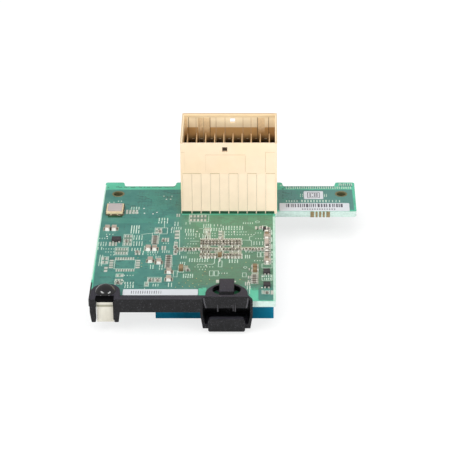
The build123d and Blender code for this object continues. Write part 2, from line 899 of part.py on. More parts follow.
parts = [
    circuit_board, hole_rims, edge_contacts, connector_shroud, connector_wafers, connector_contacts,
    front_bracket, bracket_rivet, edge_clip, heat_sink, thermal_pad, controller_chip,
    oscillator_base_body, oscillator_cap, large_capacitors, large_capacitor_ends, small_capacitors,
    small_capacitor_ends, chip_resistors, chip_resistor_ends, ferrite_beads, small_packages,
    package_leads, flash_memory, flash_memory_leads, voltage_regulator, power_inductors,
    front_label, bar_label, code_label,
]
os.makedirs("parts", exist_ok=True)
for piece in parts:
    export_step(piece.part, f"parts/{piece.part.label}.step")
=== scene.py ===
import bmesh
import bpy
import math
import random
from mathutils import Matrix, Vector


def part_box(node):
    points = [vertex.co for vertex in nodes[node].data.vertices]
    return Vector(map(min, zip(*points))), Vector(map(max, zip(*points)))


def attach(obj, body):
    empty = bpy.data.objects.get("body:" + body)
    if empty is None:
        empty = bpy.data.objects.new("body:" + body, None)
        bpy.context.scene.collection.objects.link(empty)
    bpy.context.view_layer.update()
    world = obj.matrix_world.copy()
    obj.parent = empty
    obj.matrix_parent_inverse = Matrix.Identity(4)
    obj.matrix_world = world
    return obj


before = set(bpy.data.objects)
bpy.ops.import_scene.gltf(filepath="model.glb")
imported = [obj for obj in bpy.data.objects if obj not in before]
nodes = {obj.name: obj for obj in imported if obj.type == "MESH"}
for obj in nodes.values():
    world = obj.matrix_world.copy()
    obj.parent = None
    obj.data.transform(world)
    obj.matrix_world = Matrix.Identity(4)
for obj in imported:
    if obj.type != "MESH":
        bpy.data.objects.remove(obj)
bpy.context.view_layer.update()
mm = 0.001
scene = bpy.context.scene
chance = random.Random(12)

# The camera of the photograph, 450 by 450: where it stands, how far it looks
# down, its focal length in pixels, and the pixel that its axis goes through
photo_size = 450
camera_place = Vector((9.025 * mm, -435.3 * mm, 246.25 * mm))
look_down = math.radians(28.3)
focal_pixels = 2025
axis_pixel = (265, 225)

board_low, board_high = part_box("circuit_board")
board_top = board_high.z
board_bottom = board_low.z


def ray_through(px, py):
    """The way that the photograph's camera looks through this pixel."""
    ahead = Vector((0, math.cos(look_down), -math.sin(look_down)))
    up = Vector((0, math.sin(look_down), math.cos(look_down)))
    across = Vector((1, 0, 0))
    return ahead + across * (px - axis_pixel[0]) / focal_pixels + up * (axis_pixel[1] - py) / focal_pixels


def seen(px, py, z=board_top):
    """The point at height z that the photograph shows at this pixel."""
    ray = ray_through(px, py)
    return camera_place + ray * ((z - camera_place.z) / ray.z)


def on_plane(px, py, y):
    """The point on the upright plane at y that the photograph shows at this pixel."""
    ray = ray_through(px, py)
    return camera_place + ray * ((y - camera_place.y) / ray.y)


def spot(px, py, z=board_top):
    """The same as seen, as a place in plan."""
    point = seen(px, py, z)
    return Vector((point.x, point.y))


def span(x0, y0, x1, y1, z=board_top):
    """Left, front, right and rear of the rectangle that these pixels cover at height z."""
    middle_y = (y0 + y1) / 2
    left, right = seen(x0, middle_y, z).x, seen(x1, middle_y, z).x
    return left, seen(x0, y1, z).y, right, seen(x0, y0, z).y


# Materials

def tone(red, green, blue):
    """A colour given as on a screen, from 0 to 255, as Blender wants it."""
    def linear(value):
        value /= 255
        return value / 12.92 if value <= 0.04045 else ((value + 0.055) / 1.055) ** 2.4
    return (linear(red), linear(green), linear(blue), 1)



class Surface:
    """A procedural material: colours spread by noise, with grain, gloss that varies, and edges lightened both
    as wear and as painted highlight.
    """

    def __init__(self, name, colours, size, rough, grain=0.1, metal=0.0, stretch=(1, 1, 1), edge=None,
                 edge_radius=0.06, speckle=0.12, bump_depth=0.02, ior=1.5):
        self.material = bpy.data.materials.new(name)
        self.material.use_nodes = True
        self.tree = self.material.node_tree
        self.shader = self.tree.nodes["Principled BSDF"]
        self.position = self.add("TexCoord").outputs["Object"]
        self.normal = self.add("NewGeometry").outputs["Normal"]
        self.coords = self.add("Mapping", {"Scale": stretch, "Vector": self.position}).outputs["Vector"]
        broad, fine = self.noise(1 / (size * 9 * mm), 3), self.noise(1 / (size * mm), 6)
        ramp = self.add("ValToRGB", {"Fac": broad})
        stops = ramp.color_ramp.elements
        stops[0].position, stops[1].position = 0.3, 0.7
        if len(colours) > 2:
            stops.new(0.5)
        for stop, colour in zip(stops, colours):
            stop.color = tone(*colour)
        self.shade = self.spread(fine, 1 - speckle, 1 + speckle / 2)
        self.colour = self.mix("MULTIPLY", ramp.outputs["Color"], self.shade, 1)
        bump = self.add("Bump", {"Strength": grain, "Distance": bump_depth * mm, "Height": fine})
        if edge_radius:
            bevel = self.add("Bevel", {"Radius": edge_radius * mm})
            bevel.samples = 4
            self.put(bevel.outputs["Normal"], bump.inputs["Normal"])
        # Edges are lightened in the edge colour, both as wear and as painted highlight
        if edge:
            turn = self.add("VectorMath", {0: bevel.outputs["Normal"], 1: self.normal}, "DOT_PRODUCT")
            wear_and_highlight = self.times(self.spread(turn.outputs["Value"], 1, 0, 0.8, 0.99), self.spread(broad, 0.1, 1))
            self.colour = self.mix("MIX", self.colour, tone(*edge), wear_and_highlight)
        for name, value in {
            "Base Color": self.colour, "Metallic": metal, "IOR": ior, "Normal": bump.outputs["Normal"],
            "Roughness": self.spread(fine, max(rough - 0.08, 0.02), rough + 0.1),
        }.items():
            self.put(value, self.shader.inputs[name])

    def put(self, value, socket):
        """Link the value where it is a socket too, and set it where it is a number or a colour."""
        if isinstance(value, bpy.types.NodeSocket):
            self.tree.links.new(value, socket)
        else:
            socket.default_value = value

    def add(self, kind, inputs=None, operation=None):
        """A node, with its inputs given by their names or numbers."""
        node = self.tree.nodes.new("ShaderNode" + kind)
        if operation:
            node.operation = operation
        for name, value in (inputs or {}).items():
            self.put(value, node.inputs[name])
        return node

    def noise(self, scale, detail):
        return self.add("TexNoise", {"Scale": scale, "Detail": detail, "Vector": self.coords}).outputs["Fac"]

    def maths(self, operation, *values):
        return self.add("Math", dict(enumerate(values)), operation).outputs["Value"]

    def times(self, *values):
        product = values[0]
        for value in values[1:]:
            product = self.maths("MULTIPLY", product, value)
        return product

    def mix(self, way, first, second, amount):
        """Mix two colours; each may be a socket, a colour or a number."""
        node = self.add("Mix")
        node.data_type, node.blend_type = "RGBA", way
        for place, value in ((0, amount), (6, first), (7, second)):
            self.put(value, node.inputs[place])
        return node.outputs[2]

    def spread(self, value, low, high, start=0.3, end=0.7):
        """Turn a value between start and end into one between low and high."""
        return self.add("MapRange", {"From Min": start, "From Max": end, "To Min": low, "To Max": high,
                                     "Value": value}).outputs["Result"]

    def axis(self, name, source=None):
        """One axis of the position in metres, or of another vector."""
        return self.add("SeparateXYZ", {"Vector": source or self.position}).outputs[name]

    def past(self, name, start, end, source=None):
        """None up to start along an axis, rising to one at end."""
        return self.spread(self.axis(name, source), 0, 1, start, end)

    def before(self, name, start, end):
        """One up to start along an axis, falling to none at end."""
        return self.spread(self.axis(name), 1, 0, start, end)

    def within(self, name, low, high, soft):
        """One between low and high along an axis, falling to none over the length soft."""
        return self.times(self.past(name, low - soft, low), self.before(name, high, high + soft))

    def tint(self, colour, *amounts):
        """Lay another colour, still speckled, over the surface where every amount is one."""
        speckled = self.mix("MULTIPLY", tone(*colour), self.shade, 1)
        self.colour = self.mix("MIX", self.colour, speckled, self.times(*amounts))
        self.put(self.colour, self.shader.inputs["Base Color"])


laminate = Surface("laminate", [(72, 157, 127), (80, 170, 140), (88, 178, 148)], 0.4, 0.42)
level = laminate.maths("ABSOLUTE", laminate.axis("Z", laminate.normal))
laminate.tint((176, 196, 188), laminate.spread(level, 1, 0, 0.4, 0.6))
mask = Surface("solder_mask", [(51, 107, 98), (60, 115, 106), (68, 123, 110)], 0.35, 0.4, grain=0.15,
               edge_radius=0)
mask_line = Surface("mask_over_trace", [(62, 126, 112), (72, 136, 118)], 0.3, 0.4, edge_radius=0)
mask_gap = Surface("mask_in_footprint", [(84, 112, 98), (104, 128, 114)], 0.3, 0.5, edge_radius=0)
tented = Surface("mask_over_via", [(46, 78, 72), (64, 92, 82)], 0.3, 0.45, edge_radius=0)
silk = Surface("silkscreen", [(168, 190, 174), (196, 212, 198)], 0.08, 0.65, speckle=0.3, edge_radius=0)
cream = Surface("connector_housing", [(224, 201, 168), (228, 204, 178), (232, 209, 184)], 2.0, 0.45,
                grain=0.06, edge=(244, 229, 202), edge_radius=0.08, speckle=0.03)
cream_wafer = Surface("connector_wafer", [(227, 206, 179), (232, 212, 187)], 2.0, 0.45, grain=0.06,
                      edge=(244, 230, 206), speckle=0.03)
cream_shadow = Surface("connector_seam", [(190, 168, 132), (200, 178, 144)], 0.5, 0.6)
mouth_soft = Surface("connector_rib", [(206, 178, 140), (216, 190, 152)], 0.6, 0.6)
mouth_brown = Surface("connector_rib_shadow", [(120, 88, 54), (150, 112, 72)], 0.6, 0.6)
window_dark = Surface("window_shade", [(44, 32, 20), (70, 54, 36)], 0.4, 0.6)
slot_green = Surface("slot_shade", [(10, 58, 36), (20, 76, 48)], 0.3, 0.6, edge_radius=0)
field_beige = Surface("field_solder", [(138, 144, 126), (162, 164, 146)], 0.16, 0.5, speckle=0.3,
                      edge_radius=0)
pale_edge = Surface("pale_edge", [(160, 196, 178), (180, 210, 194)], 0.3, 0.5, edge_radius=0)
contact = Surface("contact_metal", [(96, 70, 42), (120, 90, 56)], 0.3, 0.4, metal=0.6)
black = Surface("bracket_plastic", [(11, 11, 13), (15, 15, 17), (19, 19, 21)], 0.2, 0.5, grain=0.8,
                edge=(60, 59, 64), edge_radius=0.12, bump_depth=0.04, ior=1.3, speckle=0.4)
# Painted light: faces of the bracket that look up are lighter
black.tint((48, 46, 53), black.past("Z", 0.6, 0.9, black.normal))
black.tint((88, 88, 94), black.spread(black.noise(1 / (0.16 * mm), 1), 0, 1, 0.66, 0.74))
# Painted shade: a darker copy of the bracket's plastic, for recesses, gaps and corners
painted_shade_black = Surface("bracket_plastic_painted_shade", [(5, 5, 6), (8, 8, 9)], 0.2, 0.6, ior=1.12)
# Painted highlight: a lighter copy of the bracket's plastic
black_shine = Surface("bracket_plastic_painted_highlight", [(42, 41, 45), (58, 57, 62)], 0.2, 0.35, grain=0.2)
dome_black = Surface("rivet_plastic", [(7, 7, 8), (10, 9, 11)], 0.4, 0.12, grain=0.03, ior=1.7)
steel = Surface("clip_metal", [(186, 182, 169), (199, 196, 184), (208, 205, 194)], 0.6, 0.38, metal=0.4,
                stretch=(1, 1, 0.3), speckle=0.04)
anodised = Surface("anodised_aluminium", [(2, 84, 108), (4, 92, 118), (8, 98, 124)], 0.12, 0.45,
                   metal=0.2, grain=0.3, edge=(40, 130, 156), edge_radius=0.05, ior=1.2)
# Painted light: the sink's face is lighter towards its right end
sink_right, paler_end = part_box("heat_sink")[1].x, 7 * mm
anodised.tint((8, 112, 142), anodised.past("X", sink_right - paler_end, sink_right))
# Painted shade: a darker copy of the clip's metal, for its fold
steel_shade = Surface("clip_fold", [(128, 126, 110), (146, 144, 126)], 0.3, 0.45, metal=0.3)
warm_tin = Surface("warm_solder", [(158, 146, 136), (190, 178, 168)], 0.12, 0.4, metal=0.2, grain=0.3)
bright_tin = Surface("bright_solder", [(230, 228, 220), (242, 240, 234)], 0.12, 0.3, metal=0.2, grain=0.3)
grey_pad = Surface("thermal_rubber", [(140, 140, 145), (156, 156, 160)], 0.3, 0.7, grain=0.4)
moulding = Surface("chip_moulding", [(40, 38, 40), (54, 50, 52)], 0.08, 0.6, grain=0.4, edge=(78, 76, 78))
fired = Surface("ceramic_base", [(74, 64, 50), (98, 86, 66)], 0.2, 0.5, grain=0.3)
lid = Surface("lid_metal", [(174, 164, 164), (182, 172, 170)], 1.0, 0.35, metal=0.3, grain=0.05,
              speckle=0.03)
rim_gold = Surface("lid_rim", [(226, 204, 164), (240, 220, 184)], 0.2, 0.35, metal=0.4, grain=0.2)
capacitor = Surface("capacitor_body", [(136, 124, 110), (164, 152, 138)], 0.15, 0.5, grain=0.2)
small_body = Surface("small_capacitor_body", [(48, 38, 30), (72, 58, 46)], 0.12, 0.5, grain=0.2)
small_dark = Surface("small_dark_body", [(52, 42, 34), (78, 66, 54)], 0.12, 0.5, grain=0.2)
end_tin = Surface("small_capacitor_end", [(146, 142, 128), (172, 168, 154)], 0.12, 0.45, metal=0.2,
                  grain=0.3)
resistor = Surface("resistor_body", [(104, 100, 92), (134, 130, 120)], 0.1, 0.45, grain=0.2)
tin = Surface("solder_tin", [(198, 191, 182), (220, 215, 206)], 0.12, 0.34, metal=0.35, grain=0.3)
dull_tin = Surface("dull_tin", [(170, 172, 162), (196, 198, 188)], 0.12, 0.45, metal=0.3, grain=0.3)
gold = Surface("gold_plating", [(120, 104, 74), (146, 128, 92)], 0.12, 0.35, metal=0.5, grain=0.2)
via_gold = Surface("via_plating", [(206, 176, 104), (226, 200, 132)], 0.12, 0.35, metal=0.2, grain=0.2)
bead = Surface("bead_body", [(108, 90, 64), (134, 112, 82)], 0.12, 0.5, grain=0.3)
hole_tin = Surface("hole_plating", [(104, 102, 72), (128, 122, 90)], 0.2, 0.5, metal=0.3, grain=0.2)
film = Surface("label_film", [(187, 191, 195), (194, 197, 202)], 0.8, 0.45, grain=0.06, speckle=0.04)
print_grey = Surface("label_print", [(66, 64, 70), (98, 95, 104)], 0.1, 0.6, speckle=0.3)
mouth_tan = Surface("connector_shade_column", [(236, 204, 158), (244, 216, 172)], 0.6, 0.6)

# Light that is lost inside the connector's mouth, painted: the inside paler where the front
# light reaches, a painted shaded band below that line, and a dark floor of painted shade
connector_low, connector_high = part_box("connector_shroud")
side_wall, front_wall, wall_soft = 0.12 * mm, 0.6 * mm, 0.03 * mm
light_depth, floor_depth, blade_reach = 3.55 * mm, 7.8 * mm, 2.1 * mm
light_line, floor_line = connector_high.z - light_depth, connector_high.z - floor_depth
wafer_count, wafer_margin = 10, 0.48 * mm
wafers_left = connector_low.x + wafer_margin
wafer_pitch = (connector_high.x - connector_low.x - 2 * wafer_margin) / wafer_count
blade_share, blade_line = 0.375, 0.035 * mm
for surface in (cream, cream_wafer, mouth_tan):
    inside = surface.times(
        surface.within("X", connector_low.x + side_wall, connector_high.x - side_wall, wall_soft),
        surface.within("Y", connector_low.y + front_wall, connector_high.y - side_wall, wall_soft))
    if surface is not mouth_tan:
        surface.tint((250, 230, 194), inside)
    soft = 0.1 * mm if surface is cream else light_depth / 2
    surface.tint((208, 162, 104), inside, surface.before("Z", light_line - soft, light_line))
    # On the wafers the painted shade leaves thin light lines at the blades
    if surface is cream_wafer:
        offset = surface.maths("SUBTRACT", surface.axis("X"), wafers_left + wafer_pitch * blade_share)
        nearest = surface.maths("PINGPONG", offset, wafer_pitch / 2)
        beside = surface.times(inside, surface.spread(nearest, 0, 1, blade_line * 0.8, blade_line))
        surface.tint((246, 226, 186), inside)
        surface.tint((150, 112, 68), beside)
        inside = beside
    surface.tint((30, 18, 9), inside, surface.before("Z", floor_line, floor_line + blade_reach))

# Painted shade on the head of the rear wall and on the top of the rim. A depth below the
# top, or in from the rear, where the shade starts, and one where it is full
head_depths, head_reaches = (1.3 * mm, 0.5 * mm), (0.95 * mm, 0.85 * mm)
rim_depths, rim_reaches, rim_width = (0.1 * mm, 0.05 * mm), (0.86 * mm, 0.8 * mm), 0.5 * mm
cream.tint((222, 198, 158), cream.past("Z", *[connector_high.z - depth for depth in head_depths]),
           cream.past("Y", *[connector_high.y - reach for reach in head_reaches]))
rim = cream.past("Z", *[connector_high.z - depth for depth in rim_depths])
cream.tint((192, 162, 124), rim, cream.past("Y", *[connector_high.y - reach for reach in rim_reaches]))
for left in (connector_low.x, connector_high.x - rim_width):
    cream.tint((204, 180, 146), rim, cream.within("X", left, left + rim_width, wall_soft))

# The board's corner under the bracket's head lies in its shade
shade_x, shade_y = board_low.x + 0.3 * mm, board_low.y + 8.5 * mm
shade_soft_x, shade_soft_y = 0.1 * mm, 0.4 * mm
laminate.tint((22, 24, 25), laminate.before("X", shade_x, shade_x + shade_soft_x),
              laminate.before("Y", shade_y, shade_y + shade_soft_y))

for node, surface in {
    "circuit_board": laminate, "hole_rims": hole_tin, "edge_contacts": gold, "connector_shroud": cream,
    "connector_wafers": cream_wafer, "connector_contacts": contact, "front_bracket": black,
    "bracket_rivet": dome_black, "edge_clip": steel, "heat_sink": anodised, "thermal_pad": grey_pad,
    "controller_chip": moulding, "oscillator_base": fired, "oscillator_lid": lid,
    "large_capacitors": capacitor, "large_capacitor_ends": warm_tin, "small_capacitors": small_body,
    "small_capacitor_ends": end_tin, "chip_resistors": resistor, "chip_resistor_ends": dull_tin,
    "ferrite_beads": bead, "small_packages": moulding, "package_leads": dull_tin, "flash_memory": moulding,
    "flash_memory_leads": tin, "voltage_regulator": moulding, "power_inductors": bead,
    "front_label": film, "bar_label": film, "code_label": film,
}.items():
    nodes[node].data.materials.clear()
    nodes[node].data.materials.append(surface.material)

# Round shapes are shaded smooth by a modifier, up to this angle between faces
smooth_angle = math.radians(38)
weld_distance = 0.0005 * mm
smoothing = bpy.data.node_groups.new("smoothing", "GeometryNodeTree")
for way in ("INPUT", "OUTPUT"):
    smoothing.interface.new_socket("Geometry", in_out=way, socket_type="NodeSocketGeometry")
group_in, group_out, faces_smooth, edges_sharp, edge_angle, wide = [smoothing.nodes.new(kind) for kind in (
    "NodeGroupInput", "NodeGroupOutput", "GeometryNodeSetShadeSmooth", "GeometryNodeSetShadeSmooth",
    "GeometryNodeInputMeshEdgeAngle", "FunctionNodeCompare")]
edges_sharp.domain = "EDGE"
edges_sharp.inputs["Shade Smooth"].default_value = False
wide.inputs["B"].default_value = smooth_angle
for source, target in (
    (group_in.outputs[0], faces_smooth.inputs["Geometry"]),
    (faces_smooth.outputs[0], edges_sharp.inputs["Geometry"]),
    (edge_angle.outputs["Unsigned Angle"], wide.inputs["A"]),
    (wide.outputs["Result"], edges_sharp.inputs["Selection"]),
    (edges_sharp.outputs[0], group_out.inputs[0]),
):
    smoothing.links.new(source, target)
for node in nodes.values():
    node.modifiers.new("weld", "WELD").merge_threshold = weld_distance
    node.modifiers.new("smooth", "NODES").node_group = smoothing


# Thin pieces, with how far the top of a plate is drawn in, and how far a corner's mitre may reach
edge_draw = 0.01 * mm
mitre_limit = 0.4


def corners(left, front, right, rear, draw=0):
    """The corners of a rectangle, drawn in by this much at each side."""
    left, front, right, rear = left + draw, front + draw, right - draw, rear - draw
    return [(left, front), (right, front), (right, rear), (left, rear)]


def around(low, high, reach):
    """Left, front, right and rear of a box that is made wider by reach."""
    return low.x - reach, low.y - reach, high.x + reach, high.y + reach


def facing(box_px, y, ahead, behind):
    """The plate over these pixels that reaches ahead of the upright plane at y, and behind it."""
    high, low = on_plane(*box_px[:2], y), on_plane(*box_px[2:], y)
    return high.x, y - ahead, low.x, y + behind, low.z, high.z


def circle(centre, radius, sides, start=0, more=0):
    """Points round a circle, with the first ones again at the end where more are asked for."""
    turns = [start + math.tau * i / sides for i in range(sides + more)]
    return [centre + radius * Vector((math.cos(turn), math.sin(turn))) for turn in turns]


class Piece:
    """A piece of the scene, built up from small flat solids."""

    def __init__(self, name, surface):
        self.name = name
        self.surface = surface
        self.mesh = bmesh.new()

    def loft(self, low_outline, low_z, high_outline, high_z):
        """A solid between two outlines with the same number of points."""
        low = [self.mesh.verts.new((x, y, low_z)) for x, y in low_outline]
        high = [self.mesh.verts.new((x, y, high_z)) for x, y in high_outline]
        for i in range(len(low)):
            j = (i + 1) % len(low)
            self.mesh.faces.new((low[i], low[j], high[j], high[i]))
        self.mesh.faces.new(high)
        self.mesh.faces.new(low[::-1])

    def wedge(self, low_box, low_z, high_box, high_z):
        """A solid between two rectangles, each given as left, front, right and rear."""
        self.loft(corners(*low_box), low_z, corners(*high_box), high_z)

    def plate(self, left, front, right, rear, bottom, top, draw=edge_draw):
        """A flat plate, its top drawn in a little at each side."""
        box = left, front, right, rear
        self.loft(corners(*box), bottom, corners(*box, draw), top)

    def strip(self, points, width, bottom, top, closed=False):
        """A flat line through the points, mitred where it turns."""
        count = len(points)
        sides = []
        for i, point in enumerate(points):
            before = points[i - 1] if closed or i else None
            after = points[(i + 1) % count] if closed or i < count - 1 else None
            ways = [(b - a).normalized() for a, b in ((before, point), (point, after)) if a and b]
            along = sum(ways, Vector((0, 0))).normalized()
            across = Vector((-along.y, along.x))
            reach = width / 2 / max(across.dot(Vector((-ways[0].y, ways[0].x))), mitre_limit)
            sides.append([self.mesh.verts.new((*(point + across * reach * side), z))
                          for side in (-1, 1) for z in (bottom, top)])
        for i in range(count if closed else count - 1):
            a, b = sides[i], sides[(i + 1) % count]
            for j, k in ((0, 1), (1, 3), (3, 2), (2, 0)):
                self.mesh.faces.new((a[j], b[j], b[k], a[k]))
        if not closed:
            for end in (sides[0], sides[-1]):
                self.mesh.faces.new((end[0], end[1], end[3], end[2]))

    def frame(self, left, front, right, rear, width, bottom, top):
        """Four lines along the sides of a rectangle."""
        self.strip([Vector(corner) for corner in corners(left, front, right, rear)], width, bottom, top, True)

    def disc(self, centre, radius, bottom, top, sides=12):
        outline = circle(centre, radius, sides)
        self.loft(outline, bottom, outline, top)

    def ring(self, centre, radius, width, bottom, top, sides=20):
        self.strip(circle(centre, radius, sides), width, bottom, top, True)

    def done(self, slot=None):
        data = bpy.data.meshes.new(self.name)
        bmesh.ops.recalc_face_normals(self.mesh, faces=self.mesh.faces)
        self.mesh.to_mesh(data)
        self.mesh.free()
        data.materials.append(self.surface.material)
        piece = bpy.data.objects.new(self.name, data)
        scene.collection.objects.link(piece)
        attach(piece, "root")


def plates(name, surface, slot, boxes, draw=edge_draw):
    """A piece of plates, each given as left, front, right, rear, bottom and top."""
    piece = Piece(name, surface)
    for box in boxes:
        piece.plate(*box, draw)
    piece.done(slot)


def loose_boxes(name):
    """The lowest and highest corners of each loose part of a node, from left to right."""
    mesh = bmesh.new()
    mesh.from_mesh(nodes[name].data)
    mesh.transform(nodes[name].matrix_world)
    bmesh.ops.remove_doubles(mesh, verts=mesh.verts, dist=weld_distance)
    boxes, waiting = [], set(mesh.verts)
    while waiting:
        part = [waiting.pop()]
        for vert in part:
            neighbours = {link.other_vert(vert) for link in vert.link_edges} & waiting
            part.extend(neighbours)
            waiting -= neighbours
        boxes.append([Vector(pick(vert.co[i] for vert in part) for i in range(3)) for pick in (min, max)])
    mesh.free()
    return sorted(boxes, key=lambda box: (box[0].x, box[0].y))


# Copper under the mask: the darker fields that leave the brighter margins
# free. Corners are pixels of the photograph, clockwise from the rear left.
mask_height = 0.02 * mm
mask_top = board_top + mask_height
film_top = mask_top + mask_height * 0.3
main_field_px = [
    (107, 189.7), (272.4, 189.7), (273.8, 299.4), (272.8, 300.3), (259.4, 300.3), (258.4, 299.4),
    (258.4, 287.6), (249, 287.6), (249, 297), (206.4, 297), (206.4, 287.6), (198.6, 287.6), (198.6, 297),
    (91.6, 301), (92.6, 289), (104.4, 196), (105, 190.8),
]
wing_field_px = [(277.5, 189.7), (352, 189.7), (354.2, 209.8), (277.5, 209.8)]
wing_strip_px = [(283.6, 186.2), (334, 186.2), (334.4, 188.4), (283.6, 188.4)]
tab_field_px = [(339, 183.6), (351.6, 183.6), (352.4, 186.8), (339, 186.8)]
hole_low, hole_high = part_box("hole_rims")
hole_radius, hole_sides = (hole_high.y - hole_low.y) / 2, 24


def holed(field, hole_x):
    """The outline of a field that runs in from its nearest corner and round a hole."""
    outline = [spot(px, py) for px, py in field]
    centre = Vector((hole_x, (hole_low.y + hole_high.y) / 2))
    nearest = min(range(len(outline)), key=lambda i: (outline[i] - centre).length)
    way = outline[nearest] - centre
    rim = circle(centre, hole_radius, hole_sides, math.atan2(way.y, way.x), 1)
    return outline[:nearest + 1] + rim + outline[nearest:]


mask_fields = Piece("mask_fields", mask)
for field, hole_x in (
    (main_field_px, hole_low.x + hole_radius), (wing_field_px, hole_high.x - hole_radius),
):
    outline = holed(field, hole_x)
    mask_fields.loft(outline, board_top, outline, mask_top)
under_margin, under_rear = 0.9 * mm, board_high.y - 3 * mm
under = board_bottom - mask_height, board_bottom
main_right = spot(*main_field_px[1]).x
wing_right = span(*wing_field_px[0], *wing_field_px[2])[2]
mask_fields.plate(board_low.x + under_margin, board_low.y + under_margin, main_right, under_rear, *under)
mask_fields.plate(main_right + under_margin, seen(*wing_field_px[2]).y, wing_right, under_rear, *under)
mask_fields.done("laminate")

# The mask is yellower in the middle of the board, most so at the rear, and teal on the wing
yellow = seen(173, 240).x, seen(196, 240).x
teal, green = (seen(260, 291).y, seen(260, 282).y), (seen(225, 244).y, seen(225, 222).y)
panel_end = main_right, main_right + 0.5 * mm
centre = mask.times(mask.past("X", *yellow), mask.past("Y", *teal), mask.before("X", *panel_end))
mask.tint((74, 115, 92), centre)
mask.tint((80, 132, 102), centre, mask.past("Y", *green))
mask.tint((76, 122, 115), mask.past("X", *panel_end))
for surface, colour in ((mask_line, (76, 112, 88)), (tented, (80, 94, 78))):
    surface.tint(colour, surface.past("X", *yellow), surface.before("X", *panel_end))

# Rows of printed marks: first and last across, rear and front edge, count, width
silk_rows_px = [
    (131.5, 139, 207, 209.5, 4, 1.2), (131.5, 139, 225.5, 233.5, 4, 1.3), (106.5, 113, 234, 235, 3, 1),
    (99.8, 107.3, 238, 239, 4, 1), (98.5, 106, 242, 246, 4, 1), (134, 142, 235.5, 240, 4, 1.1),
    (134, 142, 241.5, 246, 4, 1.1), (103.5, 114, 248.5, 249.5, 5, 1.1), (105.8, 113.6, 251.5, 252.5, 4, 1),
    (110.8, 113.7, 254.5, 255.5, 2, 1), (132, 140.5, 248, 251, 4, 1.2), (142.5, 143.5, 251, 255, 1, 1.4),
    (125, 133, 282, 284.3, 4, 1.3), (125, 133, 284.8, 288, 4, 1.3), (124.5, 133, 275, 276, 4, 1),
    (99.5, 102, 255, 266, 2, 0.8), (159, 167.5, 218, 223.5, 4, 1.2), (172, 181, 227, 229.5, 5, 1),
    (175, 178, 222, 226, 2, 1.1), (163.5, 168.5, 243, 244, 3, 1), (162.5, 169, 250.5, 253, 4, 1),
    (148, 157.5, 251.5, 253.4, 5, 1), (148, 156, 254.3, 255.3, 4, 1), (150.5, 153, 265, 269, 2, 1),
    (159.5, 162, 265, 270, 2, 1), (168.5, 171.5, 283, 287, 2, 1), (171.5, 174, 228.5, 233, 2, 1),
    (178.8, 182.8, 271.5, 272.5, 3, 0.9), (183.5, 192.5, 274, 278, 5, 1.2), (185.5, 193.5, 229, 232.6, 4, 1.2),
    (186.5, 193.5, 233.4, 236, 4, 1), (185.5, 193.7, 238, 239, 4, 1), (203.8, 210.3, 224, 228, 4, 1),
    (203.8, 210.3, 229, 233, 4, 1), (202.5, 206.7, 234, 235, 2, 1), (211.5, 221.5, 228, 231, 5, 1.2),
    (212.5, 215, 233, 234, 2, 1), (212.5, 215, 235.4, 236.4, 2, 1), (223.5, 242.5, 226, 230, 8, 1.2),
    (226, 254, 234.2, 235.2, 11, 1.2), (189.5, 207.5, 258.5, 262, 8, 1.2), (195, 212.8, 266.5, 267.5, 7, 1),
    (199.5, 205.5, 269, 270, 3, 1), (229.5, 237.5, 259.5, 263, 4, 1.2), (219.3, 227, 272.8, 273.8, 4, 1),
    (243.5, 252.5, 222.5, 224, 5, 1), (241.5, 246, 231.5, 232.5, 3, 1), (255.5, 260.8, 232.5, 233.5, 3, 1),
    (255.8, 263.5, 238.2, 239.2, 4, 1), (254, 262.5, 241.5, 245, 4, 1), (245.5, 249.5, 255, 258.5, 3, 1.1),
    (254.7, 262.6, 260.3, 261.3, 4, 1), (247.3, 250.2, 286, 289.5, 2, 1.1), (271.4, 271.9, 230, 235, 1, 1.6),
    (271.4, 271.9, 237, 242, 1, 1.6), (271.6, 272, 244, 249, 1, 1.6), (271.6, 272, 251, 256, 1, 1.6),
    (271.8, 272.2, 258, 263, 1, 1.6), (109.5, 114, 202, 203, 2, 1.2), (118.5, 121.5, 200.8, 201.8, 2, 1),
    (150, 176, 240.5, 241.5, 2, 0.8), (216, 222, 245, 246, 2, 1), (246, 252, 251.5, 252.7, 3, 1),
    (188, 196, 243.4, 244.4, 4, 1), (188, 197, 252.6, 253.6, 5, 1), (180.5, 184.5, 262, 265, 3, 1),
    (153, 158, 284, 286.5, 3, 1.1), (254, 261, 247.2, 248.2, 4, 1), (164, 172, 195.8, 196.8, 2, 1.3),
    (264, 271, 275.6, 277.2, 4, 1.3),
    (264.6, 270.6, 278, 279.8, 4, 1.2), (252, 255.4, 275.4, 284, 3, 0.9), (184, 190, 246.2, 247.2, 3, 1),
    (243, 262, 249.8, 250.8, 9, 1), (226, 240, 231.6, 232.6, 6, 1.1), (211, 221, 224.4, 226.4, 4, 1),
    (181.5, 186, 256, 258.5, 3, 1), (203, 210, 235.4, 238, 4, 1.1), (196, 199.4, 233.4, 237.4, 2, 1),
    (127, 138, 212.2, 213.6, 5, 1), (186, 190, 222.4, 224.4, 2, 1), (264.4, 270, 262.6, 264, 3, 1),
    (98, 101.6, 247, 250, 2, 1), (144.5, 150, 246, 250.5, 3, 1), (156, 160, 256, 258.6, 3, 1),
]
# Between the small capacitors, in the tone of their solder
field_rows_px = [
    (200.6, 241.6, 238.4, 239.2, 25, 0.9), (200.6, 217, 257.8, 258.6, 10, 1),
    (224, 241.6, 257.8, 258.6, 11, 1),
]
break_from_px, break_shares, break_gap_share, nudge_share = 1.9, (0.35, 0.65), 0.12, 0.225
mark_thin_share = 0.8
silk_height = 0.02 * mm
silk_top = mask_top + silk_height
line_top = silk_top + silk_height * 0.2


